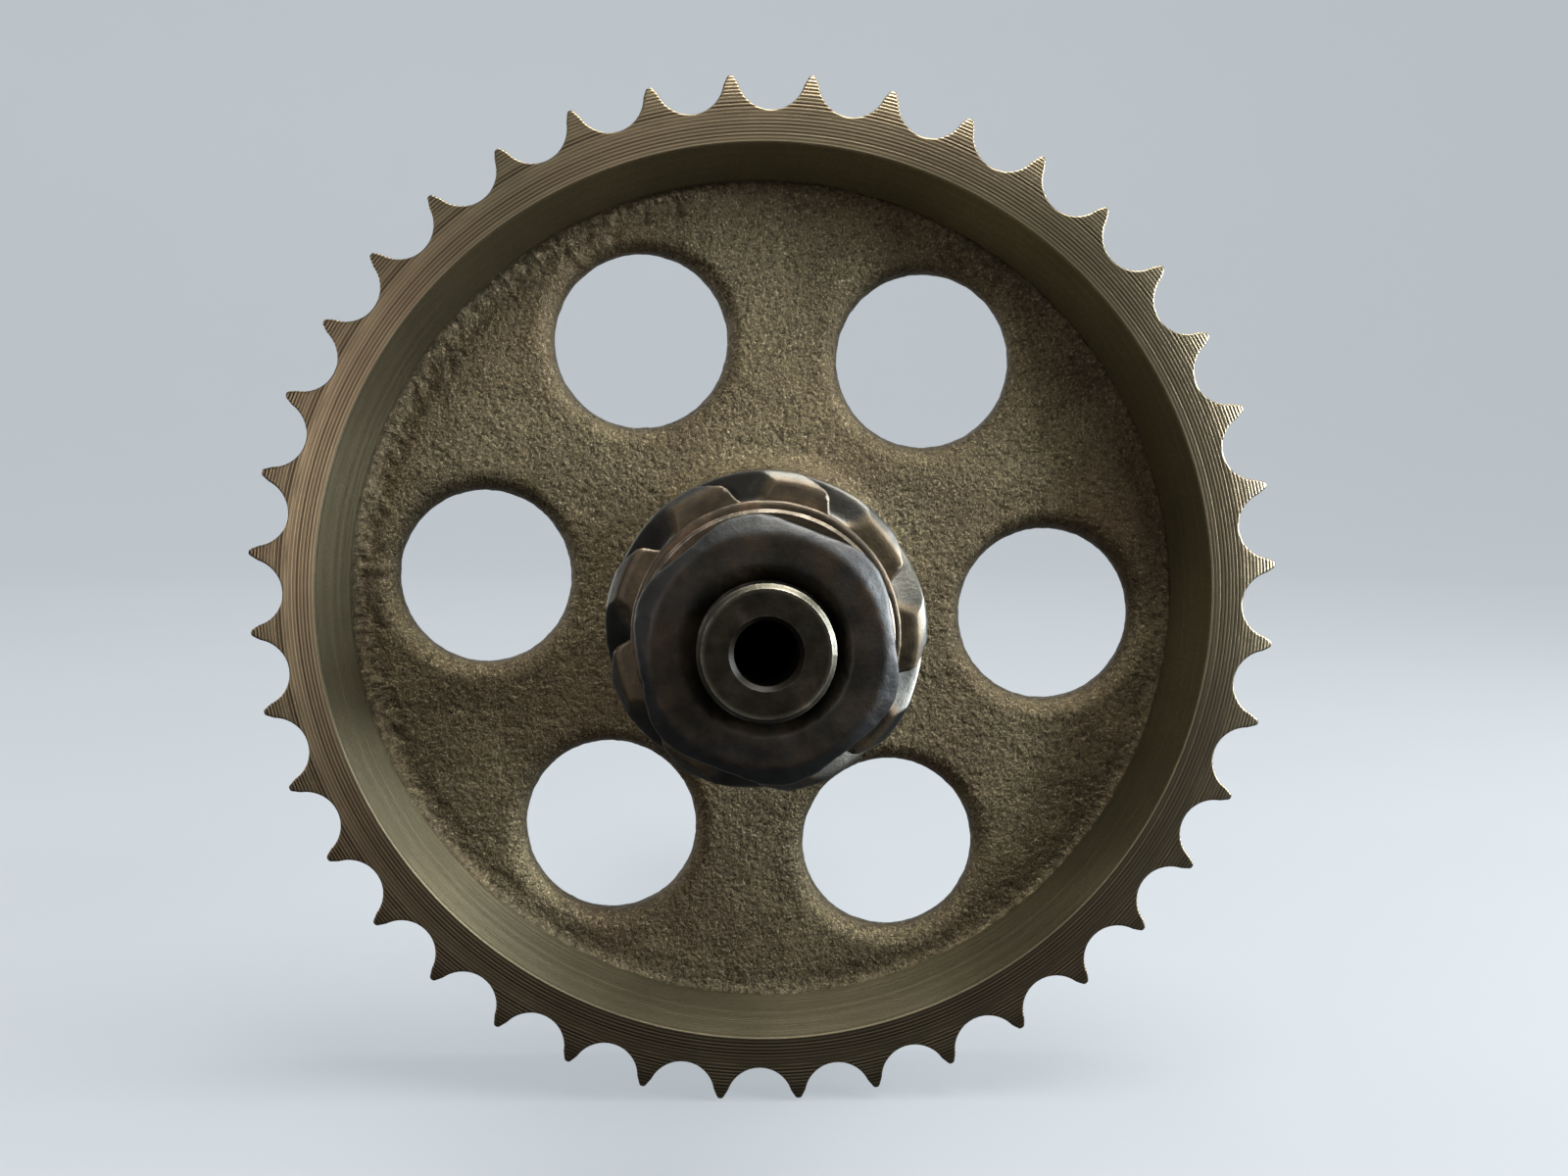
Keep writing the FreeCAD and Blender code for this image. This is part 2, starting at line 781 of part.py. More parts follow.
def gear_section(size):
    """Wire round the skew gear's teeth in the XZ plane: round-bottomed gaps between straight-sided teeth."""

    def point(radius, degrees):
        angle = math.radians(degrees)
        return FreeCAD.Vector(radius * math.cos(angle), 0, radius * math.sin(angle))

    pitch_angle = 360 / size["gear_teeth"]
    tip_half = size["gear_tip_share"] * pitch_angle / 2
    root_half = size["gear_root_share"] * pitch_angle / 2
    tooth_height = size["gear_tip_radius"] - size["gear_root_radius"]
    flank_radius = size["gear_root_radius"] + tooth_height * size["gear_floor_share"]
    edges = []
    for tooth in range(int(size["gear_teeth"])):
        centre = size["gear_phase"] + tooth * pitch_angle
        tip_start = point(size["gear_tip_radius"], centre - tip_half)
        tip_end = point(size["gear_tip_radius"], centre + tip_half)
        foot = point(flank_radius, centre + root_half)
        floor = point(size["gear_root_radius"], centre + pitch_angle / 2)
        next_foot = point(flank_radius, centre + pitch_angle - root_half)
        next_tip = point(size["gear_tip_radius"], centre + pitch_angle - tip_half)
        edges.append(Part.Arc(tip_start, point(size["gear_tip_radius"], centre), tip_end).toShape())
        edges.append(Part.LineSegment(tip_end, foot).toShape())
        edges.append(Part.Arc(foot, floor, next_foot).toShape())
        edges.append(Part.LineSegment(next_foot, next_tip).toShape())
    return Part.Wire(edges)


def make_skew_gear():
    """Left-hand skew gear: its section is swept along the axis while a helix of the gear's lead turns it."""
    size = {name: float(sheet.get(name)) for name in SIZES}
    length = size["gear_length"]
    pitch_radius = size["gear_tip_radius"] - size["gear_module"]
    helix_angle = math.acos(size["gear_teeth"] * size["gear_module"] / (2 * pitch_radius))
    lead = 2 * math.pi * pitch_radius / math.tan(helix_angle)
    spine = Part.Wire(Part.makeLine(FreeCAD.Vector(0, 0, 0), FreeCAD.Vector(0, length, 0)))
    guide = Part.makeHelix(lead, length, pitch_radius, 0, True)
    guide.rotate(FreeCAD.Vector(0, 0, 0), FreeCAD.Vector(1, 0, 0), -90)
    sweep = Part.BRepOffsetAPI.MakePipeShell(spine)
    sweep.setAuxiliarySpine(Part.Wire(guide.Edges), True, 0)
    sweep.add(gear_section(size))
    sweep.build()
    sweep.makeSolid()
    teeth = sweep.shape()

    tip = size["gear_tip_radius"]
    chamfer = size["gear_chamfer"]
    beyond = size["overcut"]
    blank_section = Part.makePolygon(
        [
            FreeCAD.Vector(0, 0, 0),
            FreeCAD.Vector(tip - chamfer, 0, 0),
            FreeCAD.Vector(tip + beyond, chamfer + beyond, 0),
            FreeCAD.Vector(tip + beyond, length - chamfer - beyond, 0),
            FreeCAD.Vector(tip - chamfer, length, 0),
            FreeCAD.Vector(0, length, 0),
            FreeCAD.Vector(0, 0, 0),
        ]
    )
    y_axis = FreeCAD.Vector(0, 1, 0)
    blank = Part.Face(blank_section).revolve(FreeCAD.Vector(0, 0, 0), y_axis, 360)
    bore_radius = size["gear_seat_radius"] + size["seat_play"]
    bore = Part.makeCylinder(bore_radius, length, FreeCAD.Vector(0, 0, 0), y_axis)
    half_width = size["gear_key_width"] / 2 + size["key_play"]
    top = size["gear_seat_radius"] - size["gear_key_depth"] + size["gear_key_height"] + size["key_top_gap"]
    keyway = Part.makeBox(2 * half_width, length, top, FreeCAD.Vector(-half_width, 0, 0))
    keyway.rotate(FreeCAD.Vector(0, 0, 0), y_axis, size["wheel_turn"])

    gear = doc.addObject("Part::Feature", "skew_gear")
    gear.Label = "skew_gear"
    gear.Shape = teeth.common(blank).cut(bore.fuse(keyway))
    gear.Placement = FreeCAD.Placement(
        FreeCAD.Vector(0, measure(GEAR_START), 0), FreeCAD.Rotation()
    )
    bind(gear, "Placement.Base.y", GEAR_START)
    subparts.append(gear)
    doc.recompute()
    return gear


# ---------------------------------------------------------------- bearings


def make_thrust_washer(label, start, bore, radius):
    """Steel thrust washer that takes the shaft's end load on a bush."""
    body = new_body(label, start)
    revolve(body, "section", ring_section(bore, radius, "thrust_thickness", "(edge_break / 2)"))
    return body


def make_front_bush():
    """Flanged plain bush with an oil groove inside and an oil hole at the top."""
    body = new_body("front_bush", BUSH_START)
    middle = "(bush_length / 2)"
    half_groove = "oil_hole_radius"
    section = [
        ("bush_bore_radius", "0"),
        ("(bush_flange_radius - edge_break)", "0"),
        ("bush_flange_radius", "edge_break"),
        ("bush_flange_radius", "bush_flange_length"),
        ("bush_radius", "bush_flange_length"),
        ("bush_radius", "(bush_length - edge_break * 2)"),
        ("(bush_radius - edge_break)", "bush_length"),
        ("bush_bore_radius", "bush_length"),
        ("bush_bore_radius", f"({middle} + {half_groove})"),
        ("(bush_bore_radius + oil_groove_depth)", f"({middle} + {half_groove} - oil_groove_depth)"),
        ("(bush_bore_radius + oil_groove_depth)", f"({middle} - {half_groove} + oil_groove_depth)"),
        ("bush_bore_radius", f"({middle} - {half_groove})"),
    ]
    revolve(body, "section", section)
    drill_oil_hole(body, middle)
    return body


def make_rear_bush():
    """Plain bush for the shaft's smaller journal, with an oil hole at the top."""
    body = new_body("rear_bush", REAR_BUSH_START)
    revolve(
        body, "section", ring_section("rear_bush_bore_radius", "rear_bush_radius", "rear_bush_length")
    )
    drill_oil_hole(body, "(rear_bush_length / 2)")
    return body


def drill_oil_hole(body, place):
    """A radial hole through the top wall of a bush."""
    sketch = new_sketch(body, "oil_hole", "XY_Plane")
    draw_circle(sketch, "0", place, "oil_hole_radius")
    pocket_one_way(body, sketch, upwards=True)


def make_retaining_ring():
    """Open spring ring in the shaft's groove, with two eyes for the pliers."""
    body = new_body("retaining_ring", RING_START)
    bore = "(rear_journal_radius - ring_groove_depth + key_play)"
    revolve(
        body,
        "section",
        [(bore, "0"), ("ring_radius", "0"), ("ring_radius", "ring_thickness"), (bore, "ring_thickness")],
    )
    gap = new_sketch(body, "gap", "XY_Plane")
    corners = [
        ("-ring_gap / 2", "-overcut"),
        ("ring_gap / 2", "-overcut"),
        ("ring_gap / 2", "ring_thickness + overcut"),
        ("-ring_gap / 2", "ring_thickness + overcut"),
    ]
    draw_outline(gap, corners)
    pocket_one_way(body, gap, upwards=False)
    eye_x = "(ring_gap / 2 + ring_eye_radius)"
    eye_y = f"-sqrt(ring_eye_circle ^ 2 - {eye_x} ^ 2)"
    for side in ("", "-"):
        name = "left" if side else "right"
        boss = new_sketch(body, f"{name}_eye", "XZ_Plane")
        draw_circle(boss, f"{side}{eye_x}", eye_y, "ring_eye_radius")
        pad = body.newObject("PartDesign::Pad", f"retaining_ring_{name}_boss")
        pad.Profile = boss
        pad.Length = measure("ring_thickness")
        bind(pad, "Length", "ring_thickness")
        pad.Reversed = True
        doc.recompute()
        hole = new_sketch(body, f"{name}_hole", "XZ_Plane")
        draw_circle(hole, f"{side}{eye_x}", eye_y, "ring_eye_radius / 2")
        pocket_through(body, hole)
    return body


def check_document():
    """Stops if any object failed to build, or any sub-part is not one valid shape."""
    for item in doc.Objects:
        if "Invalid" in item.State or "Error" in item.State:
            raise RuntimeError(f"{item.Name} failed: {item.getStatusString()}")
    for item in subparts:
        if item.Shape.isNull() or not item.Shape.isValid() or len(item.Shape.Solids) != 1:
            raise RuntimeError(f"{item.Label} is not one valid solid")


make_sprocket_wheel()
make_drive_shaft()
make_key("wheel_key", "wheel_seat_radius", WHEEL_START, HUB_LENGTH)
make_key("gear_key", "gear_seat_radius", GEAR_START, "gear_length")
make_spacer_sleeve()
make_skew_gear()
make_gear_washer()
make_lock_washer()
make_shaft_nut()
make_thrust_washer("front_thrust_washer", THRUST_START, "(bush_bore_radius + thrust_play)", "thrust_radius")
make_front_bush()
make_rear_bush()
make_thrust_washer(
    "rear_thrust_washer", REAR_THRUST_START, "(rear_bush_bore_radius + thrust_play)", "rear_thrust_radius"
)
make_retaining_ring()

doc.recompute()
check_document()
os.makedirs("parts", exist_ok=True)
for item in subparts:
    item.Shape.exportStep(f"parts/{item.Label}.step")
    box = item.Shape.BoundBox
    print(
        f"{item.Label}: {item.Shape.Volume / 1000:.2f} cm3,"
        f" x {box.XMin:.2f}..{box.XMax:.2f}, y {box.YMin:.2f}..{box.YMax:.2f}"
    )
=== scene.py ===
"""Timing-chain intermediate wheel: visible model, materials and a pale studio.

Metres in Blender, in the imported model's frame: the shaft's axis is Y, the nut points towards -Y, +Z is up.
The part's sizes are millimetres until a mesh is made. The stage and the lights are in metres.
"""

import math

import bmesh
import bpy
import numpy as np
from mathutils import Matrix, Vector, noise


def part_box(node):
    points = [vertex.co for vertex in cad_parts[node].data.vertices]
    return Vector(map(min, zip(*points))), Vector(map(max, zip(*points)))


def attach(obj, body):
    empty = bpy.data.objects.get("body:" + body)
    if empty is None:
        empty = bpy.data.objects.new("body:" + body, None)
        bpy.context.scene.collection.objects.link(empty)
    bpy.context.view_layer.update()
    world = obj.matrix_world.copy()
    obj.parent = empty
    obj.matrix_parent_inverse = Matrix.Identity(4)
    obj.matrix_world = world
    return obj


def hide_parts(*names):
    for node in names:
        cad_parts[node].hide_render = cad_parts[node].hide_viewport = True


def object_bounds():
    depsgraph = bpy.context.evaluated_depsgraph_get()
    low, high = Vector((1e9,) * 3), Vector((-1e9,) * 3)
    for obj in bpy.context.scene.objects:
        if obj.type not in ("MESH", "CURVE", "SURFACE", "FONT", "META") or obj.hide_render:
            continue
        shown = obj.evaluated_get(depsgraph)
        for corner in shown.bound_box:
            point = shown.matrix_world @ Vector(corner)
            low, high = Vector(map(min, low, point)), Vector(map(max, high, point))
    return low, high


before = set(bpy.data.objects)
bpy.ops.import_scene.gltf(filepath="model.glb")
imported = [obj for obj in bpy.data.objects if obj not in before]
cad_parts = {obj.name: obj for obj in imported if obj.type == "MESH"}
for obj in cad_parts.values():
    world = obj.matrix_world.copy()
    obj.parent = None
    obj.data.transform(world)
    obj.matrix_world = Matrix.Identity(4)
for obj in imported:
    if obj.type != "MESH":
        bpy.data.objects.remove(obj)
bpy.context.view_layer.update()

MM = 0.001
FULL_TURN = 2 * math.pi
TOOL_PITCH = 0.42
SLIVER = 0.002  # faces narrower than this are closed up


def span(node):
    """(start, end) of a CAD node along the axis, in millimetres."""
    low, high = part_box(node)
    return low[1] / MM, high[1] / MM


# ---------------------------------------------------------------- meshes


def grain(points, size, octaves, seed):
    """Fractal noise from about -1 to 1 at points in millimetres. size is its largest feature."""
    shift = Vector((17.3, 5.1, 9.7)) * seed
    flat = (points.reshape(-1, 3) / size).tolist()
    values = [noise.fractal(Vector(place) + shift, 0.8, 2.0, octaves) for place in flat]
    return np.array(values).reshape(points.shape[:-1])


def ring(radius, height, angles):
    """One row of points round the axis. radius and height are numbers or one value per angle."""
    radius = np.broadcast_to(radius, angles.shape)
    height = np.broadcast_to(height, angles.shape)
    return np.stack([radius * np.cos(angles), height, radius * np.sin(angles)], axis=-1)


def grid_faces(rows, columns):
    """Quads of a closed grid: its columns run round the axis and its last row meets the first."""
    row = np.arange(rows)[:, None]
    column = np.arange(columns)[None, :]
    next_row = (row + 1) % rows
    next_column = (column + 1) % columns
    corners = [
        row * columns + column,
        row * columns + next_column,
        next_row * columns + next_column,
        next_row * columns + column,
    ]
    return np.stack(corners, axis=-1).reshape(-1, 4)


def make_piece(name, points, faces, material, node, marks=None):
    """A mesh object that stands for a CAD node of the rotor. marks are named values, one per point."""
    used, faces = np.unique(faces, return_inverse=True)
    faces = faces.reshape(-1, 4)
    points = points.reshape(-1, 3)[used] * MM
    corners = points[faces]
    turned = np.cross(corners[:, 1] - corners[:, 0], corners[:, 2] - corners[:, 0])
    turned += np.cross(corners[:, 2] - corners[:, 0], corners[:, 3] - corners[:, 0])
    if np.sum(turned * corners[:, 0]) < 0:
        faces = faces[:, ::-1]
    mesh = bpy.data.meshes.new(name)
    mesh.from_pydata(points.tolist(), [], faces.tolist())
    for mark, values in (marks or {}).items():
        layer = mesh.attributes.new(mark, "FLOAT", "POINT")
        layer.data.foreach_set("value", values.reshape(-1)[used].astype(np.float32))
    shape = bmesh.new()
    shape.from_mesh(mesh)
    bmesh.ops.dissolve_degenerate(shape, dist=SLIVER * MM, edges=shape.edges)
    shape.to_mesh(mesh)
    shape.free()
    mesh.shade_smooth()
    mesh.materials.append(material)
    piece = bpy.data.objects.new(name, mesh)
    bpy.context.scene.collection.objects.link(piece)
    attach(piece, "rotor")
    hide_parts(node)
    return piece


def resample(path, step):
    """Points every step or less along a closed path of (radius, height) corners."""
    result = []
    for start, end in zip(path, path[1:] + path[:1]):
        length = math.dist(start, end)
        count = max(1, math.ceil(length / step))
        for share in np.arange(count) / count:
            result.append((start[0] + (end[0] - start[0]) * share, start[1] + (end[1] - start[1]) * share))
    return np.array(result)


def round_corners(path, amount):
    """A closed path with each corner replaced by four points of an arc about amount wide."""
    result = []
    for number, corner in enumerate(path):
        before = np.array(path[number - 1], float)
        after = np.array(path[(number + 1) % len(path)], float)
        corner = np.array(corner, float)
        reach = min(amount, np.linalg.norm(before - corner) / 2.1, np.linalg.norm(after - corner) / 2.1)
        start = corner + (before - corner) / np.linalg.norm(before - corner) * reach
        end = corner + (after - corner) / np.linalg.norm(after - corner) * reach
        for share in (0, 1 / 3, 2 / 3, 1):
            bent = (1 - share) ** 2 * start + 2 * share * (1 - share) * corner + share**2 * end
            result.append(tuple(bent))
    return result


def turned_piece(name, path, material, node, columns=240, step=0.4, edge=0.15, wear=0.02, shape=None):
    """A ring turned about the axis from a closed path of (radius, height) corners, with worn corners and a
    slightly uneven surface. shape(radius, height, angles) may change the radius of a row."""
    angles = np.arange(columns) * FULL_TURN / columns
    path = resample(round_corners(path, edge), step)
    radius = np.repeat(path[:, :1], columns, axis=1)
    height = np.repeat(path[:, 1:], columns, axis=1)
    if shape:
        radius = shape(radius, height, angles[None, :])
    points = np.stack([radius * np.cos(angles), height, radius * np.sin(angles)], axis=-1)
    uneven = grain(points, 2.5, 3, seed=len(name))
    shrink = 1 - np.abs(uneven) * wear / np.maximum(radius, 1)
    points[..., 0] *= shrink
    points[..., 2] *= shrink
    return make_piece(name, points, grid_faces(len(path), columns), material, node)


# ---------------------------------------------------------------- materials


class Recipe:
    """A node material. Its texture coordinates are the object's own, in millimetres."""

    def __init__(self, name):
        self.material = bpy.data.materials.new(name)
        self.material.use_nodes = True
        self.nodes = self.material.node_tree.nodes
        self.links = self.material.node_tree.links
        self.shader = self.nodes["Principled BSDF"]
        own = self.nodes.new("ShaderNodeTexCoord").outputs["Object"]
        self.place = self.make("ShaderNodeVectorMath", {0: own, "Scale": 1 / MM}, "Vector", operation="SCALE")
        parts = self.nodes.new("ShaderNodeSeparateXYZ")
        self.links.new(self.place, parts.inputs[0])
        self.height = parts.outputs["Y"]
        x, z = parts.outputs["X"], parts.outputs["Z"]
        square = self.maths("ADD", self.maths("MULTIPLY", x, x), self.maths("MULTIPLY", z, z))
        self.radius = self.maths("SQRT", square)

    def make(self, kind, inputs, output, **settings):
        """Adds a node and returns one of its outputs. Inputs are numbers, colours or other outputs."""
        node = self.nodes.new(kind)
        for name, value in settings.items():
            setattr(node, name, value)
        for name, value in inputs.items():
            if isinstance(value, bpy.types.NodeSocket):
                self.links.new(value, node.inputs[name])
            else:
                node.inputs[name].default_value = value
        return node.outputs[output]

    def maths(self, operation, first, second=0.0):
        """One sum, product or the like of two numbers or sockets."""
        return self.make("ShaderNodeMath", {0: first, 1: second}, "Value", operation=operation)

    def noise(self, size, detail=4.0, roughness=0.6):
        """Noise from 0 to 1 whose largest features are about size millimetres."""
        inputs = {"Vector": self.place, "Scale": 1 / size, "Detail": detail, "Roughness": roughness}
        return self.make("ShaderNodeTexNoise", inputs, "Fac")

    def lines(self, along, pitch):
        """Noise that changes along one direction only: the marks of a turning tool."""
        inputs = {"W": along, "Scale": 1 / pitch, "Detail": 3.0, "Roughness": 0.7}
        return self.make("ShaderNodeTexNoise", inputs, "Fac", noise_dimensions="1D")

    def band(self, value, low, high, start=0.0, end=1.0):
        """Maps low..high of a value to start..end, and holds it there outside."""
        inputs = {"Value": value, "From Min": low, "From Max": high, "To Min": start, "To Max": end}
        return self.make("ShaderNodeMapRange", inputs, "Result")

    def mix(self, share, first, second):
        """A colour between two colours."""
        return self.make("ShaderNodeMix", {0: share, 6: first, 7: second}, 2, data_type="RGBA")

    def blend(self, share, first, second):
        """A number between two numbers."""
        return self.make("ShaderNodeMix", {0: share, 2: first, 3: second}, 0, data_type="FLOAT")

    def mark(self, name):
        """A named value stored on the mesh's points."""
        return self.make("ShaderNodeAttribute", {}, "Fac", attribute_name=name)

    def edges(self, width):
        """1 on sharp edges and 0 on flat ground."""
        soft = self.make("ShaderNodeBevel", {"Radius": width * MM}, "Normal", samples=4)
        true = self.nodes.new("ShaderNodeNewGeometry").outputs["Normal"]
        alike = self.make("ShaderNodeVectorMath", {0: soft, 1: true}, "Value", operation="DOT_PRODUCT")
        return self.band(alike, 0.99, 0.8)

    def bump(self, height, depth, normal=None):
        """Tilts the surface as a height map of that depth in millimetres would."""
        inputs = {"Height": height, "Distance": depth * MM, "Strength": 1.0}
        if normal:
            inputs["Normal"] = normal
        return self.make("ShaderNodeBump", inputs, "Normal")

    def finish(self, colour, roughness, metallic, normal, coat=0.0):
        """Plugs the four channels into the shader."""
        channels = {
            "Base Color": colour,
            "Roughness": roughness,
            "Metallic": metallic,
            "Normal": normal,
            "Coat Weight": coat,
            "Coat Roughness": 0.35,
        }
        for name, value in channels.items():
            if isinstance(value, bpy.types.NodeSocket):
                self.links.new(value, self.shader.inputs[name])
            else:
                self.shader.inputs[name].default_value = value
        return self.material


def colour(red, green, blue):
    """A colour from display values of 0 to 255."""
    linear = [((value / 255 + 0.055) / 1.055) ** 2.4 for value in (red, green, blue)]
    return (*linear, 1.0)


def wheel_iron():
    """Oiled sand-cast web, and a turned rim and cone with fine tool marks, with painted glints on grains and
    edges and painted shade in the valley at the cone's foot.
    """
    paint = Recipe("wheel_iron")
    cast = paint.mark("cast")
    fine = paint.noise(0.32, 5.0, 0.75)
    sand = paint.noise(0.7, 5.0, 0.7)
    patch = paint.noise(9.0, 4.0, 0.55)
    cloud = paint.noise(26.0, 2.0, 0.5)
    uneven = paint.lines(paint.radius, 1.6)
    scratch = paint.lines(paint.radius, 0.15)
    cone_scratch = paint.lines(paint.height, 0.15)
    edge = paint.edges(0.2)
    valley = paint.maths("MULTIPLY", cast, paint.band(paint.radius, VALLEY_START - 0.4, VALLEY_START + 2.8))
    outside = paint.band(paint.radius, RIM_RADIUS - 0.1, RIM_RADIUS + 0.05)
    inside = paint.band(paint.radius, RIM_RADIUS + 0.05, RIM_RADIUS - 0.1)
    wave = paint.maths("SINE", paint.maths("MULTIPLY", paint.radius, FULL_TURN / TOOL_PITCH))
    furrow = paint.maths("MULTIPLY", paint.band(wave, 0.9, -0.9), paint.band(uneven, 0.3, 0.7, 0.5, 1.0))

    raw = paint.mix(paint.band(patch, 0.35, 0.68), colour(84, 76, 58), colour(106, 97, 74))
    raw = paint.mix(paint.band(sand, 0.52, 0.38, 0.0, 0.75), raw, colour(52, 46, 36))
    # Light specks: lighter sand grains, partly painted glints on the grains.
    raw = paint.mix(paint.band(fine, 0.55, 0.7, 0.0, 0.75), raw, colour(196, 182, 146))
    raw = paint.mix(paint.band(fine, 0.48, 0.34, 0.0, 0.6), raw, colour(42, 37, 29))
    raw = paint.mix(paint.band(cloud, 0.45, 0.75, 0.0, 0.35), raw, colour(90, 68, 50))
    # Darker, patchy valley at the cone's foot: painted shade in the crease.
    valley_shade = paint.maths("MULTIPLY", valley, paint.band(sand, 0.35, 0.6, 0.7, 0.25))
    raw = paint.mix(valley_shade, raw, colour(52, 46, 35))
    smooth = paint.mix(paint.band(patch, 0.3, 0.7), colour(118, 109, 88), colour(136, 126, 101))
    smooth = paint.mix(paint.maths("MULTIPLY", furrow, outside), smooth, colour(64, 56, 44))
    smooth = paint.mix(paint.band(scratch, 0.55, 0.7, 0.0, 0.4), smooth, colour(176, 165, 138))
    smooth = paint.mix(paint.band(cloud, 0.4, 0.7, 0.0, 0.35), smooth, colour(106, 86, 70))
    dull = paint.maths("MULTIPLY", inside, paint.band(fine, 0.4, 0.6, 0.3, 0.7))
    smooth = paint.mix(dull, smooth, colour(98, 96, 76))
    base = paint.mix(cast, smooth, raw)
    # Whitish edges: worn bare metal, and painted glints where the edges catch the light.
    base = paint.mix(paint.maths("MULTIPLY", edge, 0.7), base, colour(240, 232, 216))

    rough_cast = paint.band(fine, 0.3, 0.7, 0.46, 0.3)
    rough = paint.blend(cast, paint.band(scratch, 0.35, 0.65, 0.4, 0.3), rough_cast)
    rough = paint.blend(edge, rough, 0.25)
    grains = paint.bump(sand, 0.34)
    grains = paint.bump(fine, 0.06, grains)
    marks = paint.bump(paint.maths("MULTIPLY", furrow, outside), -0.04)
    marks = paint.bump(scratch, 0.02, marks)
    marks = paint.bump(cone_scratch, 0.012, marks)
    normal = paint.make("ShaderNodeMix", {0: cast, 4: marks, 5: grains}, 1, data_type="VECTOR")
    return paint.finish(base, rough, paint.blend(cast, 0.97, 0.93), normal)


def dark_steel(name, ground, light, rust_share, turned_along=None, rough=0.36, dirt_and_shade=None, tints=None):
    """Oily dark steel with bright worn edges, a share of rust from 0 to 1 and, if turned, tool marks.
    The mask function passed in may return a mask from 0 to 1 of old oil, film and painted shade in hollows,
    coloured between two tints."""
    paint = Recipe(name)
    blotch = paint.noise(3.2, 5.0, 0.62)
    smear = paint.noise(7.0, 3.0, 0.5)
    fine = paint.noise(0.25, 5.0, 0.7)
    edge = paint.edges(0.3)
    worn = paint.maths("MULTIPLY", edge, paint.band(blotch, 0.4, 0.6, 0.05, 0.7))

    base = paint.mix(paint.band(blotch, 0.35, 0.65), ground, light)
    base = paint.mix(paint.band(smear, 0.5, 0.72, 0.0, 0.6), base, colour(44, 40, 36))
    rust = paint.maths("MULTIPLY", paint.band(blotch, 0.66 - 0.2 * rust_share, 0.72), rust_share)
    rust = paint.maths("MULTIPLY", rust, paint.band(fine, 0.25, 0.6, 0.35, 1.0))
    rust_tint = paint.mix(paint.band(fine, 0.35, 0.65), colour(84, 48, 28), colour(132, 84, 52))
    base = paint.mix(rust, base, rust_tint)
    base = paint.mix(worn, base, colour(214, 210, 198))
    roughness = paint.band(smear, 0.3, 0.7, rough - 0.08, rough + 0.12)
    roughness = paint.blend(rust, roughness, 0.85)
    roughness = paint.blend(worn, roughness, 0.26)
    if dirt_and_shade:
        # Oil, film and painted shade in hollows, between the two tints.
        dirt_and_shade_share = dirt_and_shade(paint)
        grime_and_shade = paint.mix(paint.band(blotch, 0.4, 0.62), *tints)
        base = paint.mix(dirt_and_shade_share, base, grime_and_shade)
        roughness = paint.blend(dirt_and_shade_share, roughness, 0.6)
    metallic = paint.blend(rust, 0.92, 0.15)
    normal = paint.bump(blotch, 0.06)
    normal = paint.bump(fine, 0.03, normal)
    if turned_along:
        along = paint.radius if turned_along == "radius" else paint.height
        normal = paint.bump(paint.lines(along, 0.14), 0.02, normal)
    return paint.finish(base, roughness, metallic, normal, coat=0.15)


def gear_end_dirt(paint):
    """Brown varnish on the gear's near end face."""
    patchy = paint.band(paint.noise(1.6, 5.0, 0.65), 0.3, 0.65, 0.6, 1.0)
    streaks = paint.band(paint.lines(paint.radius, 0.6), 0.35, 0.6, 0.45, 1.0)
    start = span("skew_gear")[0]
    near_end = paint.band(paint.height, start + 0.57, start + 0.17)
    return paint.maths("MULTIPLY", near_end, paint.maths("MULTIPLY", patchy, streaks))


def nut_sink_shade_and_dirt(paint):
    """Painted shade, with oil, in the nut's countersink and threaded bore, and brown patches on its face."""
    # The countersink and bore: painted shade in the hollow, with oil.
    bore = paint.band(paint.radius, NUT_SINK_RADIUS + 0.1, NUT_SINK_RADIUS - 0.05)
    face = paint.band(paint.radius, NUT_FACE_RADIUS + 0.15, NUT_FACE_RADIUS - 0.15)
    patchy = paint.band(paint.noise(2.2, 5.0, 0.6), 0.35, 0.55, 0.55, 0.95)
    return paint.maths("MAXIMUM", bore, paint.maths("MULTIPLY", face, patchy))


def shaft_end_shade_and_dirt(paint):
    """Painted shade in the deep oil gallery, and a brown film on the near end face."""
    start = span("drive_shaft")[0]
    near_end = paint.band(paint.height, start + 0.27, start + 0.07)
    face = paint.band(paint.radius, SHAFT_FACE_RADIUS + 0.1, SHAFT_FACE_RADIUS - 0.1)
    patchy = paint.band(paint.noise(1.5, 5.0, 0.6), 0.3, 0.6, 0.6, 1.0)
    film = paint.maths("MULTIPLY", paint.maths("MULTIPLY", face, near_end), patchy)
    # The oil gallery painted near black: painted shade in the deep hole.
    gallery = paint.band(paint.radius, GALLERY_RADIUS + 0.6, GALLERY_RADIUS + 0.3)
    return paint.maths("MAXIMUM", gallery, film)


def bush_bronze():
    """Turned bearing bronze, darkened by oil."""
    paint = Recipe("bush_bronze")
    blotch = paint.noise(6.0, 5.0, 0.6)
    fine = paint.noise(0.3, 4.0, 0.6)
    tool = paint.lines(paint.height, 0.2)
    edge = paint.edges(0.4)
    base = paint.mix(paint.band(blotch, 0.35, 0.7), colour(148, 120, 82), colour(112, 90, 64))
    base = paint.mix(paint.band(fine, 0.6, 0.75, 0.0, 0.4), base, colour(84, 62, 40))
    base = paint.mix(paint.maths("MULTIPLY", edge, 0.5), base, colour(206, 182, 138))
    normal = paint.bump(tool, 0.02)
    normal = paint.bump(fine, 0.01, normal)
    return paint.finish(base, paint.band(blotch, 0.3, 0.7, 0.3, 0.46), 0.95, normal)


# ---------------------------------------------------------------- chain wheel

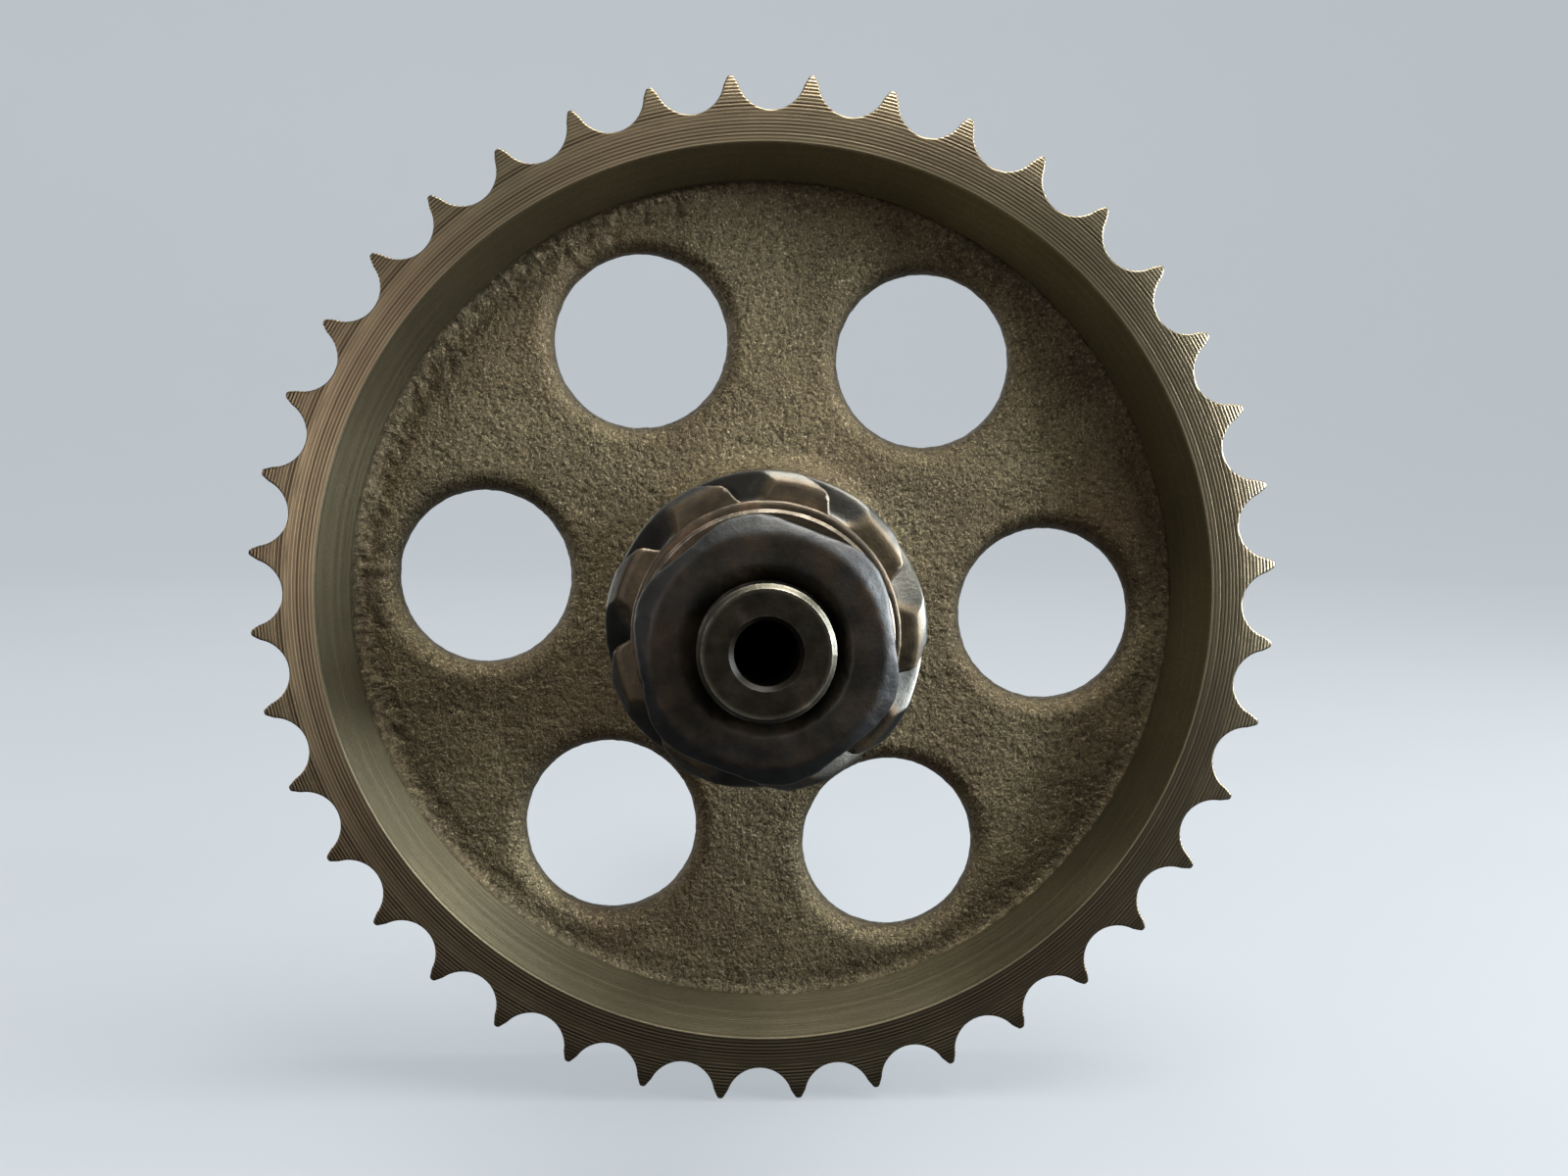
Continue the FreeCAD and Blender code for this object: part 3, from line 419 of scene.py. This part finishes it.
TEETH = 40
COLUMNS_PER_TOOTH = 28
WHEEL_TURN = math.radians(0.72)
ROOT_RADIUS = 57.5
TIP_RADIUS = 61.85
SEAT_RADIUS = 4.0
SEAT_ANGLE = 74
TIP_LAND = 0.6
ROW_WIDTH = 5.3
ROW_PITCH = 10.24
HALF_RIM = (ROW_PITCH + ROW_WIDTH) / 2
RELIEF_START = 58.0
RELIEF_DEPTH = 0.5
FACE_RADIUS = 57.0
GROOVE_RADIUS = 55.8
RIM_RADIUS = 53.8
CONE_SLOPE = math.tan(math.radians(29))
VALLEY_START = 47.4
HUB_RADIUS = 15.0
HUB_FILLET = 4.0
WEB_FRONT = -HALF_RIM + 6.5
WEB_BACK = WEB_FRONT + 5.0
BORE_RADIUS = 8.51
KEYWAY_HALF_WIDTH = 2.52
KEYWAY_TOP = 10.7
WINDOWS = 6
WINDOW_RADIUS = 10.8
WINDOW_CIRCLE = 35.3
WINDOW_PHASE = math.radians(-3.9)
LIP_REACH = 2.5
LIP_DEPTH = 2.3
LIP_UNEVEN = 0.09
RAGGED_SIDE = math.radians(155)
LEAST_RAGGED = 0.2
CONE_DEPTH = 0.93
RAGGED_RISE = 0.17
GROOVE_CHAMFER = 0.3
WEAR_START = 60
TIP_WEAR = 0.3
EDGE = 0.2


def tooth_outline():
    """Polar angles and radii of the wheel's toothed outline, one point per column."""
    pitch = FULL_TURN / TEETH
    arc = np.radians(np.linspace(0, SEAT_ANGLE, 60))
    x = SEAT_RADIUS * np.sin(arc)
    z = ROOT_RADIUS + SEAT_RADIUS - SEAT_RADIUS * np.cos(arc)
    land = TIP_LAND / 2 / TIP_RADIUS
    tip = np.linspace(pitch / 2 - land, pitch / 2, 8)
    x = np.append(x, TIP_RADIUS * np.sin(tip))
    z = np.append(z, TIP_RADIUS * np.cos(tip))
    length = np.append(0, np.cumsum(np.hypot(np.diff(x), np.diff(z))))
    even = np.linspace(0, length[-1], 200)
    x, z = np.interp(even, length, x), np.interp(even, length, z)
    angle, radius = np.arctan2(x, z), np.hypot(x, z)
    # A running mean rounds the corners of the tip, and the columns crowd towards it.
    worn = np.convolve(np.pad(radius, 5, mode="reflect"), np.ones(11) / 11, mode="valid")
    half = COLUMNS_PER_TOOTH // 2
    share = 1 - (1 - np.arange(half + 1) / half) ** 1.35
    angle = np.interp(share * length[-1], even, angle)
    radius = np.interp(share * length[-1], even, worn)
    one_angle = np.concatenate([-angle[:0:-1], angle[:-1]])
    one_radius = np.concatenate([radius[:0:-1], radius[:-1]])
    gaps = math.pi / 2 - WHEEL_TURN + np.arange(TEETH)[:, None] * pitch
    return (gaps + one_angle).ravel(), np.tile(one_radius, TEETH)


def worn_outline(radius, seed):
    """The outline with every tip worn down by a different small amount."""
    random = np.random.default_rng(seed)
    wear = np.repeat(random.uniform(0.0, TIP_WEAR, TEETH), COLUMNS_PER_TOOTH)
    wear = np.roll(wear, COLUMNS_PER_TOOTH // 2)
    above = np.clip((radius - WEAR_START) / (TIP_RADIUS - WEAR_START), 0, 1)
    return radius - wear * above**2


def keyed_bore(radius, half_width, top, angles, turn):
    """Radius of a bore with a keyway at its top."""
    off = np.abs((angles - math.pi / 2 + turn + math.pi) % FULL_TURN - math.pi)
    across = np.maximum(np.sin(np.minimum(off, math.pi / 2)), 1e-4)
    slot = np.minimum(top / np.maximum(np.cos(off), 1e-3), half_width / across)
    return np.where(off < math.pi / 3, np.maximum(radius, slot), radius)


def turning_marks(radius):
    """Depth of the concentric tool marks on the rim at a radius."""
    uneven = 0.5 + 0.5 * np.sin(radius * 3.1) * np.sin(radius * 7.7)
    fade = np.clip((RELIEF_START + 1.5 - radius) / 1.5, 0, 1)
    return 0.03 * (0.6 + 0.4 * uneven) * (0.5 + 0.5 * np.sin(FULL_TURN * radius / TOOL_PITCH)) * fade


def side_rows(side, web, hub_end, angles):
    """Rows of one side of the wheel from its bore to the foot of the teeth, and how cast each row is.
    side is -1 for the front and 1 for the back."""
    face = side * HALF_RIM
    bore = keyed_bore(BORE_RADIUS, KEYWAY_HALF_WIDTH, KEYWAY_TOP, angles, WHEEL_TURN)
    rows = [
        ring(bore, hub_end, angles),
        ring(HUB_RADIUS - 0.6, hub_end, angles),
        ring(HUB_RADIUS - 0.1, hub_end - side * 0.2, angles),
        ring(HUB_RADIUS, hub_end - side * 0.6, angles),
    ]
    cast = [0.0, 0.0, 0.2, 1.0]
    for share in np.linspace(0.2, 0.8, 4):
        rows.append(ring(HUB_RADIUS, hub_end + (web + side * HUB_FILLET - hub_end) * share, angles))
    for turn in np.linspace(0, math.pi / 2, 12):
        radius = HUB_RADIUS + HUB_FILLET * (1 - math.cos(turn))
        rows.append(ring(radius, web + side * HUB_FILLET * (1 - math.sin(turn)), angles))
    for radius in np.arange(HUB_RADIUS + HUB_FILLET + 0.25, VALLEY_START, 0.28):
        rows.append(ring(radius, web, angles))

    # The cone's foot is a ridge above the web, highest and most ragged towards RAGGED_SIDE.
    ragged = LEAST_RAGGED + (1 - LEAST_RAGGED) * np.clip(np.cos(angles - RAGGED_SIDE), 0, 1)
    ridge_noise = grain(ring(RIM_RADIUS, face, angles), 4.0, 5, seed=3 + side)
    depth = abs(web - face) * (CONE_DEPTH - RAGGED_RISE * ragged) + 0.14 * ridge_noise * ragged
    ridge_radius = RIM_RADIUS - depth * CONE_SLOPE
    ridge_height = face - side * depth
    for share in np.linspace(0, 1, 12)[:-1]:
        low, middle, high = (1 - share) ** 2, 2 * share * (1 - share), share**2
        radius = low * VALLEY_START + middle * (ridge_radius - 0.2) + high * ridge_radius
        height = low * web + middle * (web - side * (0.2 + 0.6 * ragged)) + high * ridge_height
        rows.append(ring(radius, height, angles))
    cast += [1.0] * (len(rows) - len(cast))

    for share in (0.0, 0.02, 0.05, 0.35, 0.7, 0.94, 0.98, 1.0):
        radius = ridge_radius + (RIM_RADIUS - ridge_radius) * share
        rows.append(ring(radius, ridge_height + (face - ridge_height) * share, angles))
    for radius in np.arange(RIM_RADIUS + 0.1, FACE_RADIUS + 0.05, TOOL_PITCH / 4):
        rows.append(ring(radius, face - side * turning_marks(radius), angles))
    cast += [0.0] * (len(rows) - len(cast))

    points = np.array(rows)
    cast = np.array(cast)
    radii = np.hypot(points[..., 0], points[..., 2])
    rough = np.clip((radii - VALLEY_START + 0.6) / 1.2, 0, 1)
    bumps = 0.07 * grain(points, 1.0, 3, seed=5 + side) + 0.08 * grain(points, 3.5, 2, seed=8 + side)
    bumps += 0.26 * rough * ragged * grain(points, 1.3, 4, seed=11 + side)
    points[..., 1] += side * bumps * cast[:, None]
    return points, np.repeat(cast[:, None], len(angles), axis=1)


def tooth_face(face, side, outline, angles, marks=True):
    """Rows of one side of a row of teeth, from FACE_RADIUS out to the edge of the outline."""
    edge = ring(outline, face, angles)
    along = np.roll(edge, -1, axis=0) - np.roll(edge, 1, axis=0)
    outward = np.stack([along[:, 2], np.zeros(len(angles)), -along[:, 0]], axis=-1)
    outward /= np.linalg.norm(outward, axis=1, keepdims=True)
    outward *= np.sign(np.sum(outward * edge, axis=1, keepdims=True))
    inner = edge - outward * EDGE
    foot = ring(FACE_RADIUS, face, angles)
    rows = [foot + (inner - foot) * share for share in np.linspace(0.08, 1, 12)]
    bend = np.radians([30, 60, 90])
    rows += [inner + outward * EDGE * math.sin(turn) for turn in bend]
    for number, row in enumerate(rows):
        radius = np.hypot(row[:, 0], row[:, 2])
        beyond = np.clip((radius - RELIEF_START) / (TIP_RADIUS - RELIEF_START), 0, 1)
        row[:, 1] -= side * RELIEF_DEPTH * beyond**2
        if marks:
            row[:, 1] -= side * turning_marks(radius) * 0.8
    for row, turn in zip(rows[-3:], bend):
        row[:, 1] -= side * EDGE * (1 - math.cos(turn))
    return rows


def tooth_row(front, outline, angles, marked_side):
    """Rows over one row of teeth, up its front, over the flanks and down its back."""
    near = tooth_face(front, -1, outline, angles, marked_side == -1)
    far = tooth_face(front + ROW_WIDTH, 1, outline, angles, marked_side == 1)
    flank = [near[-1] + (far[-1] - near[-1]) * share for share in (0.08, 0.3, 0.5, 0.7, 0.92)]
    for row, dip in zip(flank, (0.0, 0.03, 0.05, 0.03, 0.0)):
        shrink = 1 - dip / np.hypot(row[:, 0], row[:, 2])[:, None]
        row[:, ::2] *= shrink
    return near + flank + far[::-1]


def hole_edges(gone, quads):
    """Sides of the removed quads that face a kept quad, as pairs of point numbers."""
    neighbours = (
        np.roll(gone, 1, axis=0),
        np.roll(gone, -1, axis=1),
        np.roll(gone, -1, axis=0),
        np.roll(gone, 1, axis=1),
    )
    edges = []
    for corner, neighbour in enumerate(neighbours):
        border = quads[gone & ~neighbour]
        edges.append(np.stack([border[:, corner], border[:, (corner + 1) % 4]], axis=1))
    return np.concatenate(edges)


def settle(flat, moved, columns, radii, heights):
    """Gives points that were moved along the web the web's own height at their new radius."""
    for point in moved:
        column = point % columns
        reach = math.hypot(flat[point, 0], flat[point, 2])
        flat[point, 1] = np.interp(reach, radii[:, column], heights[:, column])


def lip_layer(middle, away, turn, inwards, start_heights, web, seed):
    """One ring of points on a window's rounded lip, turned by an angle from the web's surface."""
    share = turn / (math.pi / 2)
    plan = np.stack([away[:, 0], np.full(len(away), turn * inwards), away[:, 1]], axis=1)
    reach = WINDOW_RADIUS + LIP_REACH * (1 - math.sin(turn))
    reach = reach + LIP_UNEVEN * grain(plan * WINDOW_RADIUS, 1.6, 3, seed=seed)
    flush = start_heights * (1 - share) + web * share
    height = flush + inwards * LIP_DEPTH * (1 - math.cos(turn))
    return np.stack([middle[0] + away[:, 0] * reach, height, middle[1] + away[:, 1] * reach], axis=1)


def cut_windows(points, cast, faces, columns, side_count):
    """Cuts the round windows out of both sides of the web and joins the sides with rounded lips."""
    rows = len(points)
    quads = faces.reshape(rows, columns, 4)
    keep = np.ones((rows, columns), bool)
    flat = points.reshape(-1, 3)
    radii = np.hypot(points[..., 0], points[..., 2])
    heights = points[..., 1].copy()
    centres = flat[quads[: side_count - 1]].mean(axis=2)
    extra_points, extra_faces = [], []
    first = rows * columns
    lip = np.linspace(0, math.pi / 2, 11)[1:]
    for number in range(WINDOWS):
        angle = WINDOW_PHASE + number * FULL_TURN / WINDOWS
        middle = np.array([math.cos(angle), math.sin(angle)]) * WINDOW_CIRCLE
        off = np.hypot(centres[..., 0] - middle[0], centres[..., 2] - middle[1])
        gone = np.zeros((rows, columns), bool)
        gone[: side_count - 1] = off < WINDOW_RADIUS + LIP_REACH
        keep &= ~gone
        keep &= ~np.roll(gone[::-1], -1, axis=0)
        rim, edges = np.unique(hole_edges(gone, quads), return_inverse=True)
        edges = edges.reshape(-1, 2)
        behind = (rows - 1 - rim // columns) * columns + rim % columns
        away = flat[rim][:, ::2] - middle
        away /= np.linalg.norm(away, axis=1, keepdims=True)
        for side, order in ((rim, 1), (behind, -1)):
            flat[side, 0] = middle[0] + away[:, 0] * (WINDOW_RADIUS + LIP_REACH)
            flat[side, 2] = middle[1] + away[:, 1] * (WINDOW_RADIUS + LIP_REACH)
            settle(flat, side, columns, radii[::order][:side_count], heights[::order][:side_count])
        layers = [rim]
        steps = [(turn, rim, WEB_FRONT, 1) for turn in lip]
        steps += [(turn, behind, WEB_BACK, -1) for turn in lip[::-1]]
        for turn, start, web, inwards in steps:
            extra_points.append(lip_layer(middle, away, turn, inwards, flat[start, 1], web, 20 + number))
            layers.append(np.arange(first, first + len(rim)))
            first += len(rim)
        layers.append(behind)
        for near, far in zip(layers, layers[1:]):
            a, b = edges[:, 0], edges[:, 1]
            extra_faces.append(np.stack([near[a], near[b], far[b], far[a]], axis=1))
    extra = np.concatenate(extra_points)
    all_points = np.concatenate([flat, extra])
    all_cast = np.concatenate([cast.ravel(), np.ones(len(extra))])
    all_faces = np.concatenate([quads[keep], *extra_faces])
    return all_points, all_cast, all_faces


def make_wheel(material):
    """The duplex chain wheel: hub, cast web with windows, turned rim and two rows of worn teeth."""
    angles, outline = tooth_outline()
    start, end = span("sprocket_wheel")
    front, front_cast = side_rows(-1, WEB_FRONT, start, angles)
    back, back_cast = side_rows(1, WEB_BACK, end, angles)
    first_row = tooth_row(-HALF_RIM, worn_outline(outline, 1), angles, -1)
    second_row = tooth_row(HALF_RIM - ROW_WIDTH, worn_outline(outline, 2), angles, 1)
    half_gap = HALF_RIM - ROW_WIDTH
    between = [
        ring(GROOVE_RADIUS + GROOVE_CHAMFER, -half_gap, angles),
        ring(GROOVE_RADIUS, -half_gap + GROOVE_CHAMFER, angles),
        ring(GROOVE_RADIUS, 0, angles),
        ring(GROOVE_RADIUS, half_gap - GROOVE_CHAMFER, angles),
        ring(GROOVE_RADIUS + GROOVE_CHAMFER, half_gap, angles),
    ]
    teeth = np.array(first_row + between + second_row)
    points = np.concatenate([front, teeth, back[::-1]])
    cast = np.concatenate([front_cast, np.zeros(teeth.shape[:2]), back_cast[::-1]])
    faces = grid_faces(len(points), len(angles))
    points, cast, faces = cut_windows(points, cast, faces, len(angles), len(front))
    wheel = make_piece("wheel", points, faces, material, "sprocket_wheel", {"cast": cast})


# ---------------------------------------------------------------- skew gear

GEAR_TEETH = 9
GEAR_COLUMNS_PER_TOOTH = 44
GEAR_TIP = 13.85
GEAR_ROOT = 11.2
GEAR_FLANK = 12.1
GEAR_LEAD = 39.45
GEAR_PHASE = math.radians(76)
GEAR_CHAMFER = 0.9
GEAR_BORE = 7.01
GEAR_KEYWAY_HALF_WIDTH = 2.02
GEAR_KEYWAY_TOP = 8.7


def gear_outline():
    """Radii of the skew gear's outline at even angles, starting at a tooth's centre."""
    pitch = 360 / GEAR_TEETH
    tip_half = 0.43 * pitch / 2
    root_half = 0.62 * pitch / 2
    degrees = np.arange(GEAR_COLUMNS_PER_TOOTH) * pitch / GEAR_COLUMNS_PER_TOOTH
    off = np.minimum(degrees, pitch - degrees)
    flank = np.interp(off, [tip_half, root_half], [GEAR_TIP, GEAR_FLANK])
    inside = np.clip((off - root_half) / (pitch / 2 - root_half), 0, 1)
    floor = GEAR_FLANK - (GEAR_FLANK - GEAR_ROOT) * np.sqrt(1 - (1 - inside) ** 2)
    radius = np.where(off > root_half, floor, flank)
    spread = np.pad(radius, 2, mode="wrap")
    return np.convolve(spread, np.array([1, 2, 3, 2, 1]) / 9, mode="valid")


def make_gear(material):
    """The skew gear, swept along its helix, with chamfered ends and a keyed bore."""
    start, end = span("skew_gear")
    outline = np.tile(gear_outline(), GEAR_TEETH)
    columns = len(outline)
    even = np.arange(columns) * FULL_TURN / columns
    end_steps = np.array([0.12, 0.3, 0.5, 0.7, 0.9, 1.1, 1.4])
    heights = np.concatenate(
        [start + end_steps, np.arange(start + 1.9, end - 1.6, 0.45), end - end_steps[::-1]]
    )
    rows = []

    def turned(height):
        """Polar angles of the outline's points where the helix has turned them at a height."""
        return even + GEAR_PHASE + (height - start) * FULL_TURN / GEAR_LEAD

    def limited(height):
        """The outline cut by the chamfer at the nearer end."""
        inside = min(height - start, end - height)
        return np.minimum(outline, GEAR_TIP - GEAR_CHAMFER + inside)

    def end_rows(height):
        """Rows of an end face, from the keyed bore out to the chamfer."""
        angles = turned(height)
        bore = keyed_bore(GEAR_BORE, GEAR_KEYWAY_HALF_WIDTH, GEAR_KEYWAY_TOP, angles, WHEEL_TURN)
        edge = limited(height) - 0.12
        return [ring(bore + (edge - bore) * share, height, angles) for share in np.linspace(0, 1, 12)]

    rows += end_rows(start)
    rows += [ring(limited(height), height, turned(height)) for height in heights]
    rows += end_rows(end)[::-1]
    points = np.array(rows)
    dents = grain(points, 2.2, 3, seed=31)
    centre_pull = 0.06 * np.clip(dents, 0, 1) / GEAR_TIP
    points[..., 0] *= 1 - centre_pull
    points[..., 2] *= 1 - centre_pull
    nearness = np.clip(1 - (points[..., 1] - start) / 0.2, 0, 1)
    points[..., 1] += nearness * 0.05 * np.clip(grain(points, 1.2, 3, seed=32), 0, 1)
    gear = make_piece("skew_gear_teeth", points, grid_faces(len(rows), columns), material, "skew_gear")


# ---------------------------------------------------------------- nut and washers

NUT_HALF_FLATS = 9.5
NUT_CORNER_RADIUS = 5.0
NUT_SOFTNESS = 0.3
NUT_FACE_RADIUS = 8.75
NUT_SINK_RADIUS = 6.3
NUT_TURN = math.radians(8.7)
THREAD_CREST = 5.24
THREAD_ROOT = 6.06
THREAD_PITCH = 1.5
THREAD_START = span("drive_shaft")[0] - THREAD_PITCH / 2
SHAFT_FACE_RADIUS = 4.5
GALLERY_RADIUS = 2.4


def nut_shape(radius, height, angles):
    """Limits a round blank to a hexagon with worn, rounded corners and cuts the thread into its bore."""
    sixth = math.pi / 6
    off_flat = np.abs((angles - NUT_TURN + sixth) % (2 * sixth) - sixth)
    inset = NUT_HALF_FLATS - NUT_CORNER_RADIUS
    corner_circle = inset / math.cos(sixth)
    across = corner_circle * np.sin(sixth - off_flat)
    corner = corner_circle * np.cos(sixth - off_flat) + np.sqrt(NUT_CORNER_RADIUS**2 - across**2)
    on_flat = off_flat < math.atan(inset * math.tan(sixth) / NUT_HALF_FLATS)
    hexagon = np.where(on_flat, NUT_HALF_FLATS / np.cos(off_flat), corner)
    share = np.clip(0.5 + 0.5 * (hexagon - radius) / NUT_SOFTNESS, 0, 1)
    outer = hexagon * (1 - share) + radius * share - NUT_SOFTNESS * share * (1 - share)
    outer = np.where(radius > NUT_FACE_RADIUS, outer, radius)
    turn = (height - THREAD_START) / THREAD_PITCH + angles / FULL_TURN
    off_centre = np.abs((turn + 0.5) % 1 - 0.5) * THREAD_PITCH
    thread = np.interp(off_centre, [0.15, 0.69], [THREAD_ROOT, THREAD_CREST])
    return np.where(radius < THREAD_CREST + 0.01, thread, outer)


def make_nut(material):
    """The hexagon nut, with a chamfered face and a countersunk, threaded bore."""
    start, end = span("shaft_nut")
    corner = NUT_HALF_FLATS / math.cos(math.pi / 6)
    sink = NUT_SINK_RADIUS - THREAD_CREST
    slope = (corner - NUT_FACE_RADIUS) * math.tan(math.radians(30))
    path = [
        (NUT_SINK_RADIUS, start),
        (NUT_FACE_RADIUS, start),
        (corner, start + slope),
        (corner, end - 0.2),
        (corner - 0.2, end),
        (THREAD_CREST + sink / 2, end),
        (THREAD_CREST, end - sink / 2),
        (THREAD_CREST, start + sink),
    ]
    nut = turned_piece(
        "hexagon_nut", path, material, "shaft_nut", 360, 0.2, edge=0.35, wear=0.12, shape=nut_shape
    )


def make_washer(name, node, bore, radius, material):
    """A thick washer with worn corners."""
    start, end = span(node)
    path = [(bore, start), (radius, start), (radius, end), (bore, end)]
    washer = turned_piece(name, path, material, node, 240, 0.3, edge=0.4, wear=0.08)


# ---------------------------------------------------------------- stage, lights and camera

LENS = 29.34
SENSOR_WIDTH = 36
CAMERA_PLACE = (-0.25, -160.4, 10.0)
CAMERA_YAW = math.radians(0.93)
CAMERA_PITCH = math.radians(3.26)


def make_stage():
    """A round pale floor that sweeps up into a wall all the way round."""
    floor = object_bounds()[0][2] - 0.0002
    flat_radius, bend, top = 1.3, 0.7, 1.6
    profile = [(0.02 + radius, floor) for radius in np.linspace(0, flat_radius, 24)]
    for turn in np.linspace(0, math.pi / 2, 16)[1:]:
        profile.append((flat_radius + bend * math.sin(turn), floor + bend * (1 - math.cos(turn))))
    profile.append((flat_radius + bend, floor + top))
    columns = 96
    angles = np.arange(columns) * FULL_TURN / columns
    points = [(r * math.cos(a), r * math.sin(a), z) for r, z in profile for a in angles]
    points.append((0, 0, floor))
    faces = []
    for row in range(len(profile) - 1):
        for column in range(columns):
            following = (column + 1) % columns
            low, high = row * columns, (row + 1) * columns
            faces.append((low + column, low + following, high + following, high + column))
    faces += [(len(points) - 1, (column + 1) % columns, column) for column in range(columns)]
    mesh = bpy.data.meshes.new("studio")
    mesh.from_pydata(points, [], faces)
    mesh.shade_smooth()
    studio = bpy.data.objects.new("studio", mesh)
    bpy.context.scene.collection.objects.link(studio)
    paint = Recipe("studio_paper")
    tone = paint.mix(paint.noise(60.0, 3.0, 0.5), colour(67, 69, 70), colour(72, 74, 75))
    paint.shader.inputs["Emission Color"].default_value = colour(174, 181, 187)
    paint.shader.inputs["Emission Strength"].default_value = 1.0
    mesh.materials.append(paint.finish(tone, 0.7, 0.0, paint.bump(paint.noise(0.8), 0.03)))
    studio.visible_glossy = False


def aim(item, target):
    """Turns a light or camera, whose view runs along its own -Z, towards a point."""
    item.rotation_euler = (Vector(target) - item.location).to_track_quat("-Z", "Y").to_euler()


def add_light(name, location, size, power, tint, target=(0, 0, 0)):
    """A square soft light."""
    data = bpy.data.lights.new(name, "AREA")
    data.size = size
    data.energy = power
    data.color = tint
    light = bpy.data.objects.new(name, data)
    light.location = location
    aim(light, target)
    bpy.context.scene.collection.objects.link(light)


def add_room():
    """The room as the metal reflects it: dark where the camera stands, lighter above and behind."""
    world = bpy.data.worlds.new("room")
    world.use_nodes = True
    nodes, links = world.node_tree.nodes, world.node_tree.links
    direction = nodes.new("ShaderNodeSeparateXYZ")
    links.new(nodes.new("ShaderNodeTexCoord").outputs["Generated"], direction.inputs[0])

    def band(axis, low, high, start, end):
        """A strength that goes from start to end as the direction turns towards an axis."""
        node = nodes.new("ShaderNodeMapRange")
        links.new(direction.outputs[axis], node.inputs["Value"])
        for name, value in {"From Min": low, "From Max": high, "To Min": start, "To Max": end}.items():
            node.inputs[name].default_value = value
        return node.outputs[0]

    def join(operation, first, second):
        """Two strengths made into one."""
        node = nodes.new("ShaderNodeMath")
        node.operation = operation
        links.new(first, node.inputs[0])
        links.new(second, node.inputs[1])
        return node.outputs[0]

    along = join("ADD", band("Y", -0.8, -0.25, 0.04, 1.0), band("Y", 0.0, 0.4, 0.0, 2.0))
    strength = join("MULTIPLY", band("Z", -0.3, 0.8, 0.07, 0.28), along)
    links.new(strength, nodes["Background"].inputs["Strength"])
    nodes["Background"].inputs["Color"].default_value = (0.92, 0.96, 1.0, 1.0)
    bpy.context.scene.world = world


def add_camera():
    """The camera: just above the axis, a hand's width in front of the nut."""
    data = bpy.data.cameras.new("camera")
    data.lens = LENS
    data.sensor_width = SENSOR_WIDTH
    data.clip_start = 0.01
    camera = bpy.data.objects.new("camera", data)
    camera.location = Vector(CAMERA_PLACE) * MM
    level = math.cos(CAMERA_PITCH)
    ahead = Vector((math.sin(CAMERA_YAW) * level, math.cos(CAMERA_YAW) * level, -math.sin(CAMERA_PITCH)))
    aim(camera, camera.location + ahead)
    bpy.context.scene.collection.objects.link(camera)
    bpy.context.scene.camera = camera


def paint_node(node, material):
    """Gives a CAD node shown as it is its material."""
    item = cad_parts[node]
    item.data.materials.clear()
    item.data.materials.append(material)


iron = wheel_iron()
gear_steel = dark_steel(
    "gear_steel",
    colour(56, 56, 53),
    colour(72, 71, 65),
    0.3,
    rough=0.34,
    dirt_and_shade=gear_end_dirt,
    tints=(colour(72, 60, 43), colour(94, 81, 60)),
)
nut_steel = dark_steel(
    "nut_steel",
    colour(46, 47, 46),
    colour(62, 62, 62),
    0.25,
    rough=0.46,
    dirt_and_shade=nut_sink_shade_and_dirt,
    tints=(colour(32, 31, 27), colour(56, 47, 36)),
)
washer_steel = dark_steel("washer_steel", colour(58, 51, 40), colour(80, 70, 55), 0.7, "radius", 0.42)
shaft_steel = dark_steel(
    "shaft_steel",
    colour(54, 52, 42),
    colour(70, 67, 54),
    0.35,
    "height",
    0.42,
    dirt_and_shade=shaft_end_shade_and_dirt,
    tints=(colour(20, 18, 12), colour(36, 31, 21)),
)
plain_steel = dark_steel("plain_steel", colour(104, 100, 92), colour(134, 129, 120), 0.15, "height", 0.3)
bronze = bush_bronze()

make_wheel(iron)
make_gear(gear_steel)
make_nut(nut_steel)
make_washer("thick_washer", "gear_washer", 6.4, 11.3, washer_steel)
paint_node("lock_washer", washer_steel)
paint_node("drive_shaft", shaft_steel)
for node in ("spacer_sleeve", "wheel_key", "gear_key", "front_thrust_washer", "rear_thrust_washer"):
    paint_node(node, plain_steel)
paint_node("retaining_ring", plain_steel)
for node in ("front_bush", "rear_bush"):
    paint_node(node, bronze)

make_stage()
add_room()
add_light("top_softbox", (0.14, -0.1, 0.58), 0.4, 10.0, (1.0, 0.98, 0.94))
add_light("right_window", (0.6, -0.09, 0.14), 0.36, 16.0, (0.88, 0.94, 1.0))
add_light("top_front", (-0.04, -0.58, 0.34), 0.3, 0.45, (1.0, 0.98, 0.94))
add_light("left_front", (-0.3, -0.62, 0.03), 0.2, 0.95, (1.0, 0.9, 0.87))
add_light("left_glint", (-0.62, 0.22, 0.12), 0.2, 1.0, (1.0, 0.97, 0.95))
add_light("wall_wash", (0, 0.6, 0.9), 0.8, 10.0, (1.0, 1.0, 1.0), (0, 2.0, 0.4))
bpy.context.scene.view_settings.view_transform = "Standard"
add_camera()
